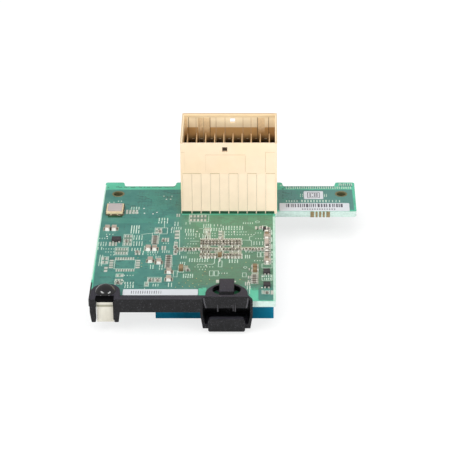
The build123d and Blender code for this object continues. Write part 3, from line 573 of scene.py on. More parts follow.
def marks(piece, rows, bottom, top, breaks=0.5):
    """Rows of small plain bars. Some bars are broken in two, so that no two look the same."""
    for first, last, rear_px, front_px, count, width_px in rows:
        for i in range(count):
            across = first + (last - first) * (i / (count - 1) if count > 1 else 0.5)
            half = width_px * mark_thin_share / 2
            left, front, right, rear = span(across - half, rear_px, across + half, front_px)
            if front_px - rear_px > break_from_px and chance.random() < breaks:
                middle = front + (rear - front) * chance.uniform(*break_shares)
                gap = (rear - front) * break_gap_share
                piece.plate(left, front, right, middle - gap / 2, bottom, top)
                nudge = (right - left) * nudge_share * chance.choice((-1, 0, 1))
                piece.plate(left + nudge, middle + gap / 2, right + nudge, rear, bottom, top)
            else:
                piece.plate(left, front, right, rear, bottom, top)


silk_marks = Piece("silk_marks", silk)
marks(silk_marks, silk_rows_px, mask_top, silk_top)
silk_marks.done()

# The field of small capacitors: bare solder between them
field_ground_px = [
    (200.4, 238.8, 241.6, 244.2), (200.4, 244.2, 210.4, 247.2), (218, 244.2, 224.4, 247.2),
    (230.2, 244.2, 241.6, 247.2), (200.4, 247.2, 241.6, 250.2), (200.4, 250.2, 210.4, 253),
    (214.8, 250.2, 224.2, 253), (229.2, 250.2, 241.6, 253), (200.4, 253, 241.6, 258.2),
    (178, 247.4, 200.4, 249.6), (241.6, 247, 264, 249.8), (218.4, 231, 224, 238.8), (264.2, 229.6, 270.4, 265),
    (251.6, 264, 258.6, 284), (180.4, 265.4, 188, 270.4), (204, 228, 211, 238.8),
]
# Its small chips: dark ones and bright ends by turns, in rows, in two chains, and single ones
field_rows_y_px = (240.3, 242.8, 248.3, 253.9, 256.7)
field_start_px, field_step_px, field_steps = 203.4, 6.72, 6
chain_y_px, chain_step_px, chain_drop_px, chains_px = 248.4, 1.6, 0.3, ((181.3, 6), (243.2, 7))
field_dots_px = [
    (203, 245.5), (221.6, 245.6), (233.6, 245.8), (239.8, 245.6), (202.6, 250.8), (204.8, 251), (208.6, 250.8),
    (221.3, 250.8), (268.2, 244.2), (268.4, 254.4), (222, 237.8), (257.4, 228), (206.4, 236.4), (209, 230.8),
]
field_lights_px = [
    (220.6, 237.8), (234.2, 231.4), (206.8, 231.4), (201.3, 245.7), (207.5, 245.7), (220.4, 246.2),
    (232.3, 246.2), (238.3, 246), (201.3, 251), (207.3, 251.2), (232.3, 251.3), (238.5, 251.2),
    (219.4, 259.8), (258, 269.2), (249.2, 268.4), (252, 281), (223, 243.4), (223, 250.6),
]
field_bead_px = (217.6, 221.8, 250)
field_pale_px = []
for k in range(field_steps):
    for py in field_rows_y_px:
        for places, shift in (
            (field_dots_px, 0), (field_lights_px, 1.75), (field_pale_px, 3.3), (field_lights_px, 5),
        ):
            px = field_start_px + field_step_px * k + shift
            if py < field_bead_px[2] or not field_bead_px[0] < px < field_bead_px[1]:
                places.append((px, py))
for first, count in chains_px:
    for k in range(count):
        field_dots_px.append((first + 2 * chain_step_px * k, chain_y_px))
        field_lights_px.append((first + chain_step_px * (1 + 2 * k), chain_y_px + chain_drop_px))
plates("field_ground", field_beige, "solder_tin",
       [(*span(*box), mask_top, film_top) for box in field_ground_px])
chip_top, chip_deep, chip_draw, chip_shares = board_top + 0.48 * mm, 1.3, 0.04 * mm, (0.7, 1.3)
for name, surface, slot, half, places, rows in (
    ("field_dots", small_dark, "capacitor_body", 0.1 * mm, field_dots_px, []),
    ("field_pale", capacitor, "capacitor_body", 0.09 * mm, field_pale_px, []),
    ("field_lights", bright_tin, "solder_tin", 0.13 * mm, field_lights_px, field_rows_px),
):
    chips = Piece(name, surface)
    for px, py in places:
        x, y = spot(px, py, chip_top)
        wide = half * chance.uniform(*chip_shares)
        deep = wide * chip_deep
        chips.plate(x - wide, y - deep, x + wide, y + deep, board_top, chip_top, chip_draw)
    marks(chips, rows, mask_top, silk_top, 0.3)
    chips.done(slot)

# The larger chip parts in the column at the right, by pixel
column_top, column_draw = board_top + 0.62 * mm, 0.05 * mm
for name, surface, slot, boxes_px in (
    ("column_ends", bright_tin, "solder_tin", [
        (264.8, 235.8, 268.6, 237.8), (265.6, 260.2, 268.6, 262.4), (261.9, 225.6, 263, 228.2),
        (266.3, 225.8, 267.4, 228.6), (264.8, 229.8, 268.4, 230.8), (265, 246, 268.6, 246.8),
        (265, 249.4, 268.6, 250.2)]),
    ("column_bodies", bead, "capacitor_body", [(264.8, 231.4, 268.6, 235.2), (265, 256.4, 268.4, 259.6)]),
    ("column_dark", moulding, "chip_moulding", [(263.3, 226.4, 266, 229)]),
    ("column_pale_bodies", warm_tin, "resistor_body", [
        (264.8, 238.6, 268.8, 243.6), (264.8, 252, 268.6, 255.8)]),
):
    plates(name, surface, slot, [(*span(*box, column_top), board_top, column_top) for box in boxes_px],
           column_draw)

# Printed lines and the outlines round parts, by pixel
silk_width = 0.14 * mm
silk_lines_px = [
    [(141, 234.6), (146, 234), (153, 233.3)],
    [(253, 236), (249.5, 237), (249.5, 240), (251.5, 241), (251.5, 246)],
    [(164.5, 223.5), (164.5, 228)], [(172, 255), (172, 267)], [(179.6, 230), (179.6, 255)],
    [(224.5, 231), (224.5, 238)], [(214.5, 257), (214.5, 263), (213, 264.3), (198, 264.3), (197, 265.5)],
    [(199, 228.8), (203, 228.8)], [(174.4, 241.5), (174.4, 255)], [(249.6, 286), (249.6, 294)],
    [(144.5, 288), (144.5, 289.5)], [(241, 240.3), (250, 240.3)], [(190, 241.3), (199, 241.3)],
]
silk_frames_px = [
    (114.5, 260, 135.2, 269), (123.5, 234.5, 132, 246), (115, 247.5, 128, 255), (152, 233, 159, 244),
    (155, 228, 167.4, 234), (208.7, 214.5, 189.3, 222), (218.4, 261, 222, 267), (209.5, 271, 213.2, 276),
    (214.4, 271, 218.2, 276), (262, 264, 272, 268), (262, 275, 272, 280.5), (262, 290.4, 269.6, 294),
    (242.5, 273, 246.2, 277), (257.4, 252.6, 260.2, 257), (261, 252.6, 264, 257), (144.5, 282, 148.6, 286.6),
    (116, 274, 123.2, 277), (101.4, 256.8, 108.2, 264), (173.4, 271, 177.2, 277), (147.4, 277.4, 161.4, 282.4),
]
silk_rings_px = [
    (257.5, 222, 2), (245.2, 267.5, 1.7), (168.5, 279, 4), (119, 281.5, 4.5), (264.4, 227.2, 3.2),
]
silk_lines = Piece("silk_lines", silk)
for line in silk_lines_px:
    silk_lines.strip([spot(px, py) for px, py in line], silk_width, mask_top, line_top)
for box in silk_frames_px:
    silk_lines.frame(*span(*box), silk_width, mask_top, line_top)
for px, py, radius_px in silk_rings_px:
    centre = spot(px, py)
    silk_lines.ring(centre, spot(px + radius_px, py).x - centre.x, silk_width, mask_top, line_top)
part_gap, end_gap = 0.16 * mm, 0.42 * mm
for low, high in loose_boxes("ferrite_beads"):
    lies_across = high.x - low.x > high.y - low.y
    reach, lift = (end_gap, part_gap) if lies_across else (part_gap, end_gap)
    silk_lines.frame(low.x - reach, low.y - lift, high.x + reach, high.y + lift, silk_width * 0.8,
                     mask_top, line_top)
silk_lines.done()

# Bare pads of parts that aren't fitted: rectangles by pixel, with their columns and rows
pad_blocks_px = [
    (115.2, 257.5, 134.2, 259.8, 8, 1), (115.6, 269.4, 134.4, 271.6, 8, 1), (109.2, 260, 113.3, 268.3, 1, 4),
    (135.9, 260, 140, 268.3, 1, 4), (126, 210, 138, 214, 4, 1), (176.5, 214, 180, 217, 2, 1),
    (109, 242, 117, 246, 3, 1), (124.2, 235.2, 131.4, 245.4, 3, 3), (115.7, 248.2, 127.4, 254.4, 5, 2),
    (135, 251, 140.5, 255, 2, 1), (101.9, 257.4, 107.8, 260, 2, 1), (101.9, 261, 107.4, 263.6, 2, 1),
    (104, 267, 107.5, 272, 1, 2), (116.6, 274.6, 122.8, 276.6, 2, 1), (114.6, 279, 122.6, 284.6, 3, 2),
    (148, 278, 161, 282, 5, 1), (155.6, 228.6, 162, 233.6, 2, 2), (162, 238, 169, 242, 3, 1),
    (161.5, 246, 166, 250, 2, 1), (174.9, 230.5, 179.2, 239, 1, 3), (173.7, 242, 177.5, 255, 1, 5),
    (190, 215.2, 206.4, 221.4, 5, 2), (218.4, 231, 222, 238, 1, 3), (218.7, 258.5, 220.7, 261, 1, 1),
    (216, 280, 219, 283, 1, 1), (234, 281, 236, 282.4, 1, 1), (255, 226.5, 261, 229.5, 2, 1),
    (251.2, 265.4, 253, 271.6, 1, 2), (256.2, 265.4, 258, 271.6, 1, 2), (262.6, 291, 269, 293.6, 3, 1),
    (245, 282, 250, 285.6, 3, 1), (185.4, 268, 189, 271, 1, 1), (145.2, 282.6, 148, 286, 1, 2),
    (247.8, 276, 254, 283, 3, 2), (270.6, 290.6, 273.6, 294.6, 1, 1), (165.5, 261, 169, 264, 2, 1),
]
pad_gap_share = 0.42
pad_top, footprint_top = mask_top + 0.03 * mm, mask_top + mask_height * 0.7
footprints = Piece("footprints", mask_gap)
bare_pads = Piece("bare_pads", dull_tin)
for x0, y0, x1, y1, columns, rows in pad_blocks_px:
    left, front, right, rear = span(x0, y0, x1, y1)
    footprints.plate(left, front, right, rear, board_top, footprint_top)
    step_x, step_y = (right - left) / (columns - pad_gap_share), (rear - front) / (rows - pad_gap_share)
    wide, deep = step_x * (1 - pad_gap_share), step_y * (1 - pad_gap_share)
    for i in range(columns):
        for j in range(rows):
            x, y = left + i * step_x, front + j * step_y
            bare_pads.plate(x, y, x + wide, y + deep, board_top, pad_top)
footprints.done("laminate")

# Solder fillets round the ends of the chip parts, on pads a little wider
pad_reach, fillet_reach, fillet_share = 0.1 * mm, 0.07 * mm, 0.6
for name in ("large_capacitor_ends", "small_capacitor_ends", "chip_resistor_ends"):
    for low, high in loose_boxes(name):
        bare_pads.plate(*around(low, high, pad_reach), board_top, pad_top)
        bare_pads.wedge(around(low, high, fillet_reach), board_top,
                        around(low, high, 0), board_top + (high.z - board_top) * fillet_share)
bare_pads.done("solder_tin")

# The large capacitors stand on bare solder, with painted shade round their foot and a painted highlight on the
# solder in front
for name, surface, reach, top in (
    ("capacitor_surrounds", field_beige, 0.46 * mm, mask_top + mask_height * 0.8),
    ("capacitor_shades", small_dark, 0.28 * mm, pad_top + 0.005 * mm),
):
    plates(name, surface, "laminate",
           [(*around(*box, reach), board_top, top) for box in loose_boxes("large_capacitors")])
bright_front, bright_inset, bright_share = 0.2 * mm, 0.1 * mm, 0.9
front_solder_highlight = Piece("front_solder_highlight", bright_tin)
for low, high in loose_boxes("large_capacitor_ends"):
    left, right, rear = low.x + bright_inset, high.x - bright_inset, low.y + pad_reach
    front_solder_highlight.wedge((left, low.y - bright_front, right, rear), board_top,
                       (left + pad_reach, low.y - pad_reach / 4, right - pad_reach, rear),
                       board_top + (high.z - board_top) * bright_share)
front_solder_highlight.done("solder_tin")

# Vias: open gold ones by pixel, and small ones under the mask in chosen areas
gold_vias_px = [
    (192.8, 283.5), (182.5, 286.8), (189.3, 286.3), (185.5, 283), (179, 283), (194.8, 287), (198.5, 285),
    (201, 281), (202.5, 275.3), (141.8, 263.3), (141.5, 266.5), (138, 258), (207, 284), (196.5, 278.5),
    (175.5, 287.3), (209.5, 279.3), (188, 280.4), (205, 271.6), (240, 279.5), (246, 262.5), (232, 268),
]
plain_vias_px = [
    (166.5, 199.3), (170.7, 199.3), (144, 208.5), (144.5, 213.3), (157, 212.5), (153, 214), (107, 236.5),
    (234.3, 231.5), (262.3, 276.5), (262, 287.8), (201.3, 245.7), (207.5, 245.7), (201.3, 251),
    (207.3, 251.2), (232.3, 246.2), (238.3, 246), (232.3, 251.3), (238.5, 251.2), (206, 265.8), (197, 231.5),
]
via_radius = 0.2 * mm
for name, surface, slot, places, share, sides in (
    ("gold_vias", via_gold, "gold_plating", gold_vias_px, 0.55, 10),
    ("plain_vias", bright_tin, "solder_tin", plain_vias_px, 1, 12),
):
    vias = Piece(name, surface)
    for px, py in places:
        vias.disc(spot(px, py), via_radius * share, mask_top, silk_top, sides)
    vias.done(slot)
via_areas_px = [
    (136, 190.6, 180, 207, 170), (112, 206, 172, 222, 90), (100, 224, 172, 256, 70), (176, 217, 270, 236, 120),
    (180, 238, 266, 260, 90), (176, 262, 264, 284, 120), (98, 256, 172, 286, 50), (279, 191, 302, 201, 24),
    (325, 198, 350, 209, 12),
]
via_pitch, via_places = 0.8 * mm, set()
hidden_vias = Piece("hidden_vias", tented)
for x0, y0, x1, y1, count in via_areas_px:
    left, front, right, rear = span(x0, y0, x1, y1)
    for _ in range(count):
        x = left + via_pitch * round(chance.uniform(0, right - left) / via_pitch)
        y = front + via_pitch * round(chance.uniform(0, rear - front) / via_pitch)
        via_places.add((round(x, 5), round(y, 5)))
for place in sorted(via_places):
    hidden_vias.disc(Vector(place), via_radius * 0.7, mask_top, film_top, 8)

# A loose row of them along the main panel's rear edge, and four large ones on the wing
rear_row_px, rear_start_px, rear_step_px, rear_count = 187.2, 108.5, 1.64, 42
rear_share, rear_stray = 0.7, 0.2
for i in range(rear_count):
    if chance.random() < rear_share:
        place = spot(rear_start_px + i * rear_step_px, rear_row_px)
        place.y += chance.uniform(-rear_stray, rear_stray) * mm
        hidden_vias.disc(place, via_radius, board_top, mask_top, 8)
for py in (188.9, 192.1, 195.2, 198.2):
    hidden_vias.disc(spot(282.8, py), via_radius * 1.3, board_top, film_top)
hidden_vias.done("laminate")

# Traces under the mask: bundles that run a way, turn by 45 degrees and run on.
# Start by pixel, direction of the first run, lengths of the three runs, count
trace_bundles_px = [
    (112, 223, 1, 0, (12, 3, 10), 8), (146, 190.8, 0, -1, (3, 3, 5), 12), (184, 218, 0, -1, (4, 4, 3), 10),
    (212, 218, 0, -1, (3, 2, 4), 8), (236, 218, 0, -1, (4, 3, 3), 10), (258, 218, 0, -1, (5, 2, 4), 6),
    (182, 236, 0, -1, (3, 2, 6), 6), (200, 262, 0, -1, (3, 3, 3), 9), (226, 264, 0, -1, (4, 2, 4), 9),
    (142, 244, 0, -1, (4, 3, 5), 5), (102, 276, 1, 0, (3, 2, 3), 4), (150, 262, 1, 0, (3, 1.5, 2), 5),
    (296, 190.6, 0, -1, (1.5, 1, 1.5), 4), (282, 199, 0, -1, (2, 1, 1), 6),
]
trace_width, trace_pitch, trace_top = 0.13 * mm, 0.32 * mm, mask_top + mask_height * 0.35
trace_stray = 1.2
traces = Piece("traces", mask_line)
for px, py, run_x, run_y, lengths, count in trace_bundles_px:
    run = Vector((run_x, run_y))
    side = Vector((-run_y, run_x))
    turn = (run + side).normalized()
    for i in range(count):
        points = [spot(px, py) + side * trace_pitch * i]
        for way, length in zip((run, turn, run), lengths):
            points.append(points[-1] + way * length * mm)
        points[0] -= run * chance.uniform(0, trace_stray) * mm
        points[-1] += run * chance.uniform(0, trace_stray) * mm
        traces.strip(points, trace_width, mask_top, trace_top)
traces.done("laminate")

# Short runs of copper side by side, darker and lighter than the mask between them
run_areas_px = [
    (204, 266, 263, 290, 0.5), (178, 262, 203, 289, 0.4), (136, 190.4, 178, 206, 0.45),
    (112, 203, 134, 214, 0.25), (182, 216.6, 270, 226, 0.35), (182, 240, 199, 247, 0.35),
    (243, 252, 263, 264, 0.4), (142, 206, 172, 232, 0.25), (98, 256, 172, 290, 0.2), (279, 191, 300, 202, 0.3),
]
run_pitch, run_width, run_gap, run_top = 0.4 * mm, 0.18 * mm, 0.15 * mm, mask_top + mask_height * 0.25
run_start, shortest_run, longest_run = 2, 0.3, 1.5
dark_runs, light_runs = Piece("dark_runs", tented), Piece("light_runs", mask_line)
for x0, y0, x1, y1, share in run_areas_px:
    left, front, right, rear = span(x0, y0, x1, y1)
    for row in range(int((rear - front) / run_pitch)):
        at, y = left + chance.uniform(0, run_start) * mm, front + row * run_pitch
        while at < right:
            length = chance.uniform(shortest_run, longest_run) * mm
            if chance.random() < share:
                piece = chance.choice((dark_runs, light_runs))
                piece.plate(at, y, at + length, y + run_width, mask_top, run_top, 0)
            at += length + run_gap
dark_runs.done("laminate")
light_runs.done("laminate")

# What the wing carries: printed rows on its strip and on its tab, and a plain row
wing_rows_px = [
    (286.5, 350.5, 186.7, 188.9, 30, 1.3), (286.5, 297, 200.4, 202, 5, 1.2), (302, 326, 200, 202.3, 9, 1.7),
    (329, 339.5, 200.2, 202.2, 4, 1.2), (300.4, 302.6, 194, 197, 2, 0.8), (324.4, 326.4, 194, 197, 2, 0.8),
    (339, 351.6, 183.5, 185.6, 7, 1.3), (280.4, 281.8, 184.8, 186.2, 2, 0.9),
]
wing_strip = Piece("wing_strip", mask_line)
for field in (wing_strip_px, tab_field_px):
    outline = [spot(px, py) for px, py in field]
    wing_strip.loft(outline, board_top, outline, (mask_top + board_top) / 2)
wing_strip.done("laminate")

# The bare edges at the main panel's right, between two rows, and at its left, made pale as a painted highlight
# on the board's edge
edge_top, right_width, left_width = mask_top + 0.002 * mm, 0.6 * mm, 0.26 * mm
right_inset, left_inset, left_front, left_rear = 0.02 * mm, 0.01 * mm, 10 * mm, 1.5 * mm
panel_right = max(vertex.co.x for vertex in nodes["circuit_board"].data.vertices if vertex.co.y < 0)
_, right_front, _, right_rear = span(270, 216.6, 270, 300.6)
plates("bare_edge_highlight", pale_edge, "laminate", [
    (panel_right - right_width, right_front, panel_right - right_inset, right_rear, board_top, edge_top),
    (board_low.x + left_inset, board_low.y + left_front, board_low.x + left_width, board_high.y - left_rear,
     board_top, edge_top)])

# The marks on the wing
wing_marks = Piece("wing_marks", silk)
marks(wing_marks, wing_rows_px, board_top, silk_top, 0.6)
wing_marks.done()

# Print on the labels: plain bars of varied widths, a plain nested pattern, and plain rows
print_height, frame_width = 0.01 * mm, 0.16 * mm
bar_widths, bar_gaps = (0.2, 0.3, 0.42, 0.55), (0.2, 0.28, 0.42)
label_print = Piece("label_print", print_grey)
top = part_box("bar_label")[1].z
inked = top, top + print_height
bars_left, bars_front, bars_right, bars_rear = span(286, 203.8, 343.5, 207.2, top)
at = bars_left
while at < bars_right:
    width = chance.choice(bar_widths) * mm
    label_print.plate(at, bars_front, at + width, bars_rear, *inked)
    at += width + chance.choice(bar_gaps) * mm
row_start, row_step, row_bar, row_count = 4 * mm, 0.62 * mm, 0.34 * mm, 14
_, row_front, _, row_rear = span(300, 208.6, 300, 209.6, top)
for i in range(row_count):
    at = bars_left + row_start + i * row_step
    label_print.plate(at, row_front, at + row_bar, row_rear, *inked)
low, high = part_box("code_label")
inked = high.z, high.z + print_height
half_x, half_y = (high.x - low.x) * 0.3, (high.y - low.y) * 0.34
cells, cell_share, filled_share, cell_step_share = 4, 0.26, 0.6, 1 / 2.6
middle, half = (low + high) / 2, Vector((half_x, half_y, 0))
label_print.frame(*(middle - half).xy, *(middle + half).xy, frame_width, *inked)
for i in range(cells):
    for j in range(cells):
        if chance.random() < filled_share:
            x, y = (middle[k] + half[k] * (cell - 1.8) * cell_step_share for k, cell in ((0, i), (1, j)))
            label_print.plate(x, y, x + half_x * cell_share, y + half_y * cell_share, *inked)
top, thinnest_bar, widest_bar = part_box("front_label")[1].z, 0.1, 0.2
row_left, row_front, row_right, row_rear = span(131, 290.8, 163, 293.6, top)
for i in range(row_count):
    at = row_left + (row_right - row_left) * i / row_count
    width = chance.uniform(thinnest_bar, widest_bar) * mm
    label_print.plate(at, row_front, at + width, row_rear, top, top + print_height)
label_print.done()

# The brighter line on the board in front of the connector
plates("connector_line", laminate, "laminate",
       [(*span(182, 214, 271.6, 214.9), mask_top, mask_top + mask_height * 0.4)])

# Seams and the shallow step moulded in the connector's front, by pixel
seam_lines_px = [
    (184.3, 152, 184.7, 173), (205.5, 154.5, 205.9, 172.5), (245.1, 156, 245.5, 172), (265.3, 152, 265.7, 172),
    (205.7, 154.8, 245.2, 155.1), (181, 152.3, 184.5, 152.6), (265.5, 152.3, 275, 152.6),
]
seam_depth = 0.012 * mm
plates("connector_seams", cream_shadow, "connector_housing",
       [facing(line, connector_low.y, seam_depth, seam_depth) for line in seam_lines_px], 0)

# The step where the shroud ends: level on most of the wafers, smoothed over on the others
shown_steps = (0, 1, 3, 5, 7, 9)
step_low, step_high, step_depth = board_top + 11.15 * mm, board_top + 11.35 * mm, 0.3 * mm
for name, surface, slot, shown in (
    ("connector_steps", cream_shadow, "connector_wafer", True),
    ("connector_step_fills", cream, "connector_housing", False),
):
    lefts = [wafers_left + i * wafer_pitch for i in range(wafer_count) if (i in shown_steps) == shown]
    plates(name, surface, slot, [(left, connector_low.y - seam_depth, left + wafer_pitch,
                                  connector_low.y + step_depth, step_low, step_high) for left in lefts], 0)

# What shows on the inside of the mouth's rear wall, by pixel: ribs and painted rib shadows
# down it, and low on it the bright ends of the contacts
wall_y, wall_sink = connector_high.y - 0.8 * mm, 0.02 * mm
wall_row_px, ends_row_px = 120, 138.4
wall_bottom = board_top + 11.3 * mm
rib_half, rib_ahead, rib_top = 0.07 * mm, 0.06 * mm, connector_high.z - 0.8 * mm
for name, surface, places_px in (("mouth_ribs", mouth_soft, [196, 199, 203.6, 216, 225, 243, 251]),
                                 ("mouth_rib_shadows", mouth_brown, [188.6, 210, 257.6, 268.6])):
    centres = [on_plane(px, wall_row_px, wall_y).x for px in places_px]
    plates(name, surface, "connector_housing", [
        (x - rib_half, wall_y - rib_ahead, x + rib_half, wall_y + wall_sink, wall_bottom, rib_top)
        for x in centres])
end_half, end_ahead, end_below, end_above = 0.3 * mm, 0.12 * mm, 0.14 * mm, 0.06 * mm
ends_px = [193.3, 201.4, 211.6, 220, 229.3, 238.3, 247.3, 256, 265.6]
ends = [on_plane(px, ends_row_px, wall_y) for px in ends_px]
plates("contact_ends", rim_gold, "contact_metal", [
    (end.x - end_half, wall_y - end_ahead, end.x + end_half, wall_y + wall_sink,
     end.z - end_below, end.z + end_above) for end in ends])

# Behind the front window: a dark plate in place of the wafer's plate there, darkened as painted shade of the
# inside
window_px, window_depth, window_thick = (221.6, 146.4, 227.8, 151.8), 0.8 * mm, 0.1 * mm
plates("window_shade", window_dark, "connector_wafer",
       [facing(window_px, connector_low.y + window_depth, 0, window_thick)])

# Wide columns on the rear wall with their own painted shade, which deepens smoothly with no sharp band
panel_ahead, panel_top = 0.03 * mm, connector_high.z - 0.9 * mm
shade_columns_px = [(182.4, 186.8), (197.8, 202.2), (202.5, 209.8), (257.9, 264.8)]
sides = [[on_plane(px, wall_row_px, wall_y).x for px in pair] for pair in shade_columns_px]
plates("mouth_shade_columns", mouth_tan, "connector_housing", [
    (left, wall_y - panel_ahead, right, wall_y + wall_sink, wall_bottom, panel_top) for left, right in sides])

# The bright edges of the blades above their solid part
edge_low, edge_high = board_top + 14.4 * mm, board_top + 15.3 * mm
blade_half, blade_reach, blade_draw = 0.08 * mm, 0.5 * mm, 0.03 * mm
blade_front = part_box("connector_contacts")[0].y
blades = [wafers_left + (i + blade_share) * wafer_pitch for i in range(wafer_count)]
plates("blade_edges", cream, "connector_wafer", [
    (x - blade_half, blade_front, x + blade_half, blade_front + blade_reach, edge_low, edge_high)
    for x in blades], blade_draw)

# Painted shade in the openings between the feet of the wafers
slot_step_px, slot_high_px, slot_low_px, slot_depth = 9.18, 211, 213.5, 0.02 * mm
slots_px = [(182, 191.6)]
for i in range(wafer_count - 1):
    slots_px.append((193.2 + slot_step_px * i, 200.8 + slot_step_px * i))
slot_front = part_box("connector_wafers")[0].y
plates("wafer_slot_shades", slot_green, "laminate", [
    facing((x0, slot_high_px, x1, slot_low_px), slot_front, slot_depth, slot_depth) for x0, x1 in slots_px], 0)

# The oscillator's gilt seal round its lid, its shade on the board and its solder pads
plates("oscillator_shade", slot_green, "laminate", [(*span(108, 215.6, 122.4, 217.6), mask_top, film_top)])
solder_px, solder_top, solder_draw = [
    (106, 213.8, 108, 215.6), (109.4, 214.4, 112.6, 215.6), (113.6, 214.4, 117, 215.6),
    (118, 214.4, 121.4, 215.6), (122.4, 213.4, 124, 215.4), (123.6, 206.6, 124.6, 208),
    (123.6, 210, 124.6, 211.4),
], mask_top + 0.08 * mm, 0.03 * mm
plates("oscillator_solder", warm_tin, "solder_tin",
       [(*span(*box), mask_top, solder_top) for box in solder_px], solder_draw)
seal_width, seal_low, seal_high = 0.34 * mm, 0.02 * mm, 0.06 * mm
band_side, band_ahead, band_behind, band_low, band_high = 0.2 * mm, 0.02 * mm, 0.3 * mm, 0.45 * mm, 0.02 * mm
pad_lip, pad_half, pad_shares, pad_low, pad_high = 0.03 * mm, 0.16 * mm, (0.3, 0.66), 0.2 * mm, 0.4 * mm
lid_low, lid_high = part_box("oscillator_lid")
base_low, base_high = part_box("oscillator_base")
seal = Piece("oscillator_seal", rim_gold)
seal.frame(*around(lid_low, lid_high, seal_width / 2), seal_width, lid_low.z - seal_low, lid_low.z + seal_high)
seal.plate(base_low.x + band_side, base_low.y - band_ahead, base_high.x - band_side, base_low.y + band_behind,
           base_high.z - band_low, base_high.z + band_high)
for pad_share in pad_shares:
    at = base_low.x + (base_high.x - base_low.x) * pad_share
    for y in (base_low.y, base_high.y):
        seal.plate(at - pad_half, y - pad_lip, at + pad_half, y + pad_lip, board_top + pad_low,
                   base_high.z - pad_high)
seal.done("gold_plating")

# The latch end: a black disc and a wider green disc on the board under the opening, both painted
# shade, the root of the strap, painted highlights on the thin ribs and the rounds of its front, and painted
# shade outside them
for name, surface, slot, place_px, radius, rise in (
    ("latch_dark_shade", black, "bracket_plastic", (226.3, 288.6), 2.5 * mm, 0.05 * mm),
    ("latch_green_shade", slot_green, "laminate", (226.6, 290.4), 3.75 * mm, 0.02 * mm),
):
    shade_disc = Piece(name, surface)
    shade_disc.disc(spot(*place_px), radius, board_top, mask_top + rise, 40)
    shade_disc.done(slot)
root_high, root_low = board_top + 2 * mm, board_top + 1.3 * mm
root_rear, root_ahead, root_drop = 0.2 * mm, 0.02 * mm, 0.05 * mm
strap_left, strap_front = spot(219, 291.2, root_high)
strap_right, strap_foot = spot(233.7, 294.8, root_low)
root_draw = 0.1 * mm
strap_root = Piece("strap_root", black)
strap_root.wedge((strap_left, strap_foot, strap_right, strap_front + root_rear), root_low,
                 (strap_left + root_draw, strap_front - root_ahead, strap_right - root_draw,
                  strap_front + root_rear), root_high - root_drop)
strap_root.done("bracket_plastic")
latch_face, face_sink, round_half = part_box("front_bracket")[0].y + 0.5 * mm, 0.1 * mm, 0.16 * mm
bar_ahead, bar_draw, round_ahead, corner_ahead = 0.12 * mm, 0.04 * mm, 0.05 * mm, 0.03 * mm
latch_ribs_px = [(217.2, 304.5, 218.1, 311.5), (232.7, 304.5, 233.5, 311), (234.9, 304.5, 235.7, 311.5)]
latch_rounds_px = [[(203.7, 298), (204.4, 303), (206, 308)], [(247.9, 298), (247.5, 303), (246.4, 308)]]
# Of each shade, the left and right end of its upper edge, and of its lower edge
latch_corners_px = [(202.4, 203.3, 202.8, 205.6), (248.8, 250.4, 247.2, 250.2)]
corner_rows_px = (300.2, 308.8)


def face_wedge(piece, high_left, high_right, low_left, low_right, ahead):
    """A flat solid on the latch's face between an upper edge and a lower one."""
    piece.wedge((low_left.x, latch_face - ahead, low_right.x, latch_face + face_sink), low_left.z,
                (high_left.x, latch_face - ahead, high_right.x, latch_face + face_sink), high_left.z)


# Painted highlights: the thin ribs and the rounds of the latch's front, in lighter plastic
latch_highlights = Piece("latch_highlights", black_shine)
for box in latch_ribs_px:
    latch_highlights.plate(*facing(box, latch_face, bar_ahead, face_sink), bar_draw)
half = Vector((round_half, 0, 0))
for line in latch_rounds_px:
    for high, low in zip(line, line[1:]):
        high, low = on_plane(*high, latch_face), on_plane(*low, latch_face)
        face_wedge(latch_highlights, high - half, high + half, low - half, low + half, round_ahead)
latch_highlights.done("bracket_plastic")
latch_corners = Piece("latch_corners", painted_shade_black)
for edges_px in latch_corners_px:
    edges = [on_plane(px, corner_rows_px[i // 2], latch_face) for i, px in enumerate(edges_px)]
    face_wedge(latch_corners, *edges, corner_ahead)
latch_corners.done("bracket_plastic")

# The clip's folded front: two plates with the fold's groove between them, by pixel row
clip_low, clip_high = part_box("edge_clip")
clip_lip, clip_inset = 0.05 * mm, 0.12 * mm
clip_left, clip_right, clip_rear = clip_low.x + clip_inset, clip_high.x - clip_inset, clip_low.y + clip_lip


def clip_z(py):
    """How high on the clip's front the photograph shows this row."""
    return on_plane(axis_pixel[0], py, clip_low.y).z


clip_folds = Piece("clip_folds", steel)
for rear_py, front_py in ((302.2, 304.6), (306.8, 319.8)):
    clip_folds.wedge((clip_left, clip_low.y - clip_lip, clip_right, clip_rear), clip_z(front_py),
                     (clip_left, clip_low.y, clip_right, clip_rear), clip_z(rear_py))
clip_folds.done("clip_metal")
# The groove's plate is the darker metal, as painted shade in the fold
plates("clip_groove", steel_shade, "clip_metal", [
    (clip_left, clip_low.y - clip_lip * 0.4, clip_right, clip_rear, clip_z(306.8), clip_z(304.6))], 0)

# Painted shade in the recess above the clip, the head's lower lip between the legs in the painted-shade black,
# and painted shade beside the clip
plates("fork_gap_shade", painted_shade_black, "bracket_plastic", [
    (clip_low.x, clip_low.y - clip_lip, clip_high.x, clip_rear, clip_z(302.2), clip_z(299.8))], 0)
lip_top, lip_side, lip_height, lip_draw = board_top + 1.2 * mm, 0.1 * mm, 0.6 * mm, 0.04 * mm
_, lip_front, _, lip_rear = span(95, 296, 113, 299, lip_top)
plates("fork_lip", painted_shade_black, "bracket_plastic", [
    (clip_low.x - lip_side, lip_front, clip_high.x + lip_side, lip_rear, lip_top - lip_height, lip_top)
], lip_draw)
plates("clip_shade", painted_shade_black, "bracket_plastic",
       [facing((112.8, 302, 114.6, 319.6), clip_low.y, clip_lip * 1.2, clip_lip)], 0)
bar_lip_top = mask_top + 0.05 * mm
plates("bar_lip", black, "bracket_plastic", [(*span(118.8, 295.5, 204.5, 297.4), board_top, bar_lip_top)])

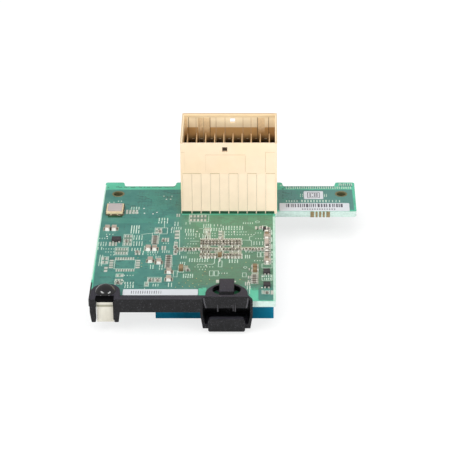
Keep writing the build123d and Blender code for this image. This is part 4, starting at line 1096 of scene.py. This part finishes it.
# Camera, lights, floor
sensor = 36
camera_data = bpy.data.cameras.new("camera")
camera_data.sensor_width = sensor
camera_data.lens = sensor * focal_pixels / photo_size
camera_data.shift_x = (photo_size / 2 - axis_pixel[0]) / photo_size
camera_data.shift_y = (axis_pixel[1] - photo_size / 2) / photo_size
camera_data.clip_start = 0.01
camera = bpy.data.objects.new("camera", camera_data)
camera.location = camera_place
camera.rotation_euler = (math.pi / 2 - look_down, 0, 0)
scene.collection.objects.link(camera)
scene.camera = camera
scene.view_settings.view_transform = "Standard"

world = bpy.data.worlds.new("studio")
world.use_nodes = True
world.node_tree.nodes["Background"].inputs["Color"].default_value = (1, 1, 1, 1)
world.node_tree.nodes["Background"].inputs["Strength"].default_value = 0.45
scene.world = world


def lamp(name, place, target, width, height, power, mirrored):
    data = bpy.data.lights.new(name, "AREA")
    data.shape = "RECTANGLE"
    data.size, data.size_y = width, height
    data.energy = power
    light = bpy.data.objects.new(name, data)
    light.location = place
    light.visible_glossy = mirrored
    light.rotation_euler = (Vector(target) - Vector(place)).to_track_quat("-Z", "Y").to_euler()
    scene.collection.objects.link(light)


lamp("overhead", (-0.05, 0.05, 0.7), (0, 0, 0), 0.7, 0.7, 3.8, False)
for side in (-1, 1):
    lamp("front", (0.74 * side, -0.82, 0.16), (0, 0, 0.01), 0.26, 0.16, 4.0, True)
for x in (-0.36, 0.44):
    lamp("high", (x, -0.32, 0.5), (0, 0, 0.01), 0.42, 0.1, 1.4, True)

floor_mesh = bpy.data.meshes.new("floor")
floor_mesh.from_pydata([(-3, -3, 0), (3, -3, 0), (3, 3, 0), (-3, 3, 0)], [], [(0, 1, 2, 3)])
floor = bpy.data.objects.new("floor", floor_mesh)
scene.collection.objects.link(floor)
paper = Surface("backdrop", [(246, 246, 246), (248, 248, 248)], 40, 0.8, grain=0.0, speckle=0.0)
floor_mesh.materials.append(paper.material)

# The camera sees the floor's shadows weakened, and the object gets no light from this
share = paper.maths("MULTIPLY", paper.add("LightPath").outputs["Is Camera Ray"], 0.75)
blend = paper.add("MixShader", {
    "Fac": share, 1: paper.shader.outputs["BSDF"], 2: paper.add("Emission").outputs["Emission"]})
paper.put(blend.outputs["Shader"], paper.tree.nodes["Material Output"].inputs["Surface"])
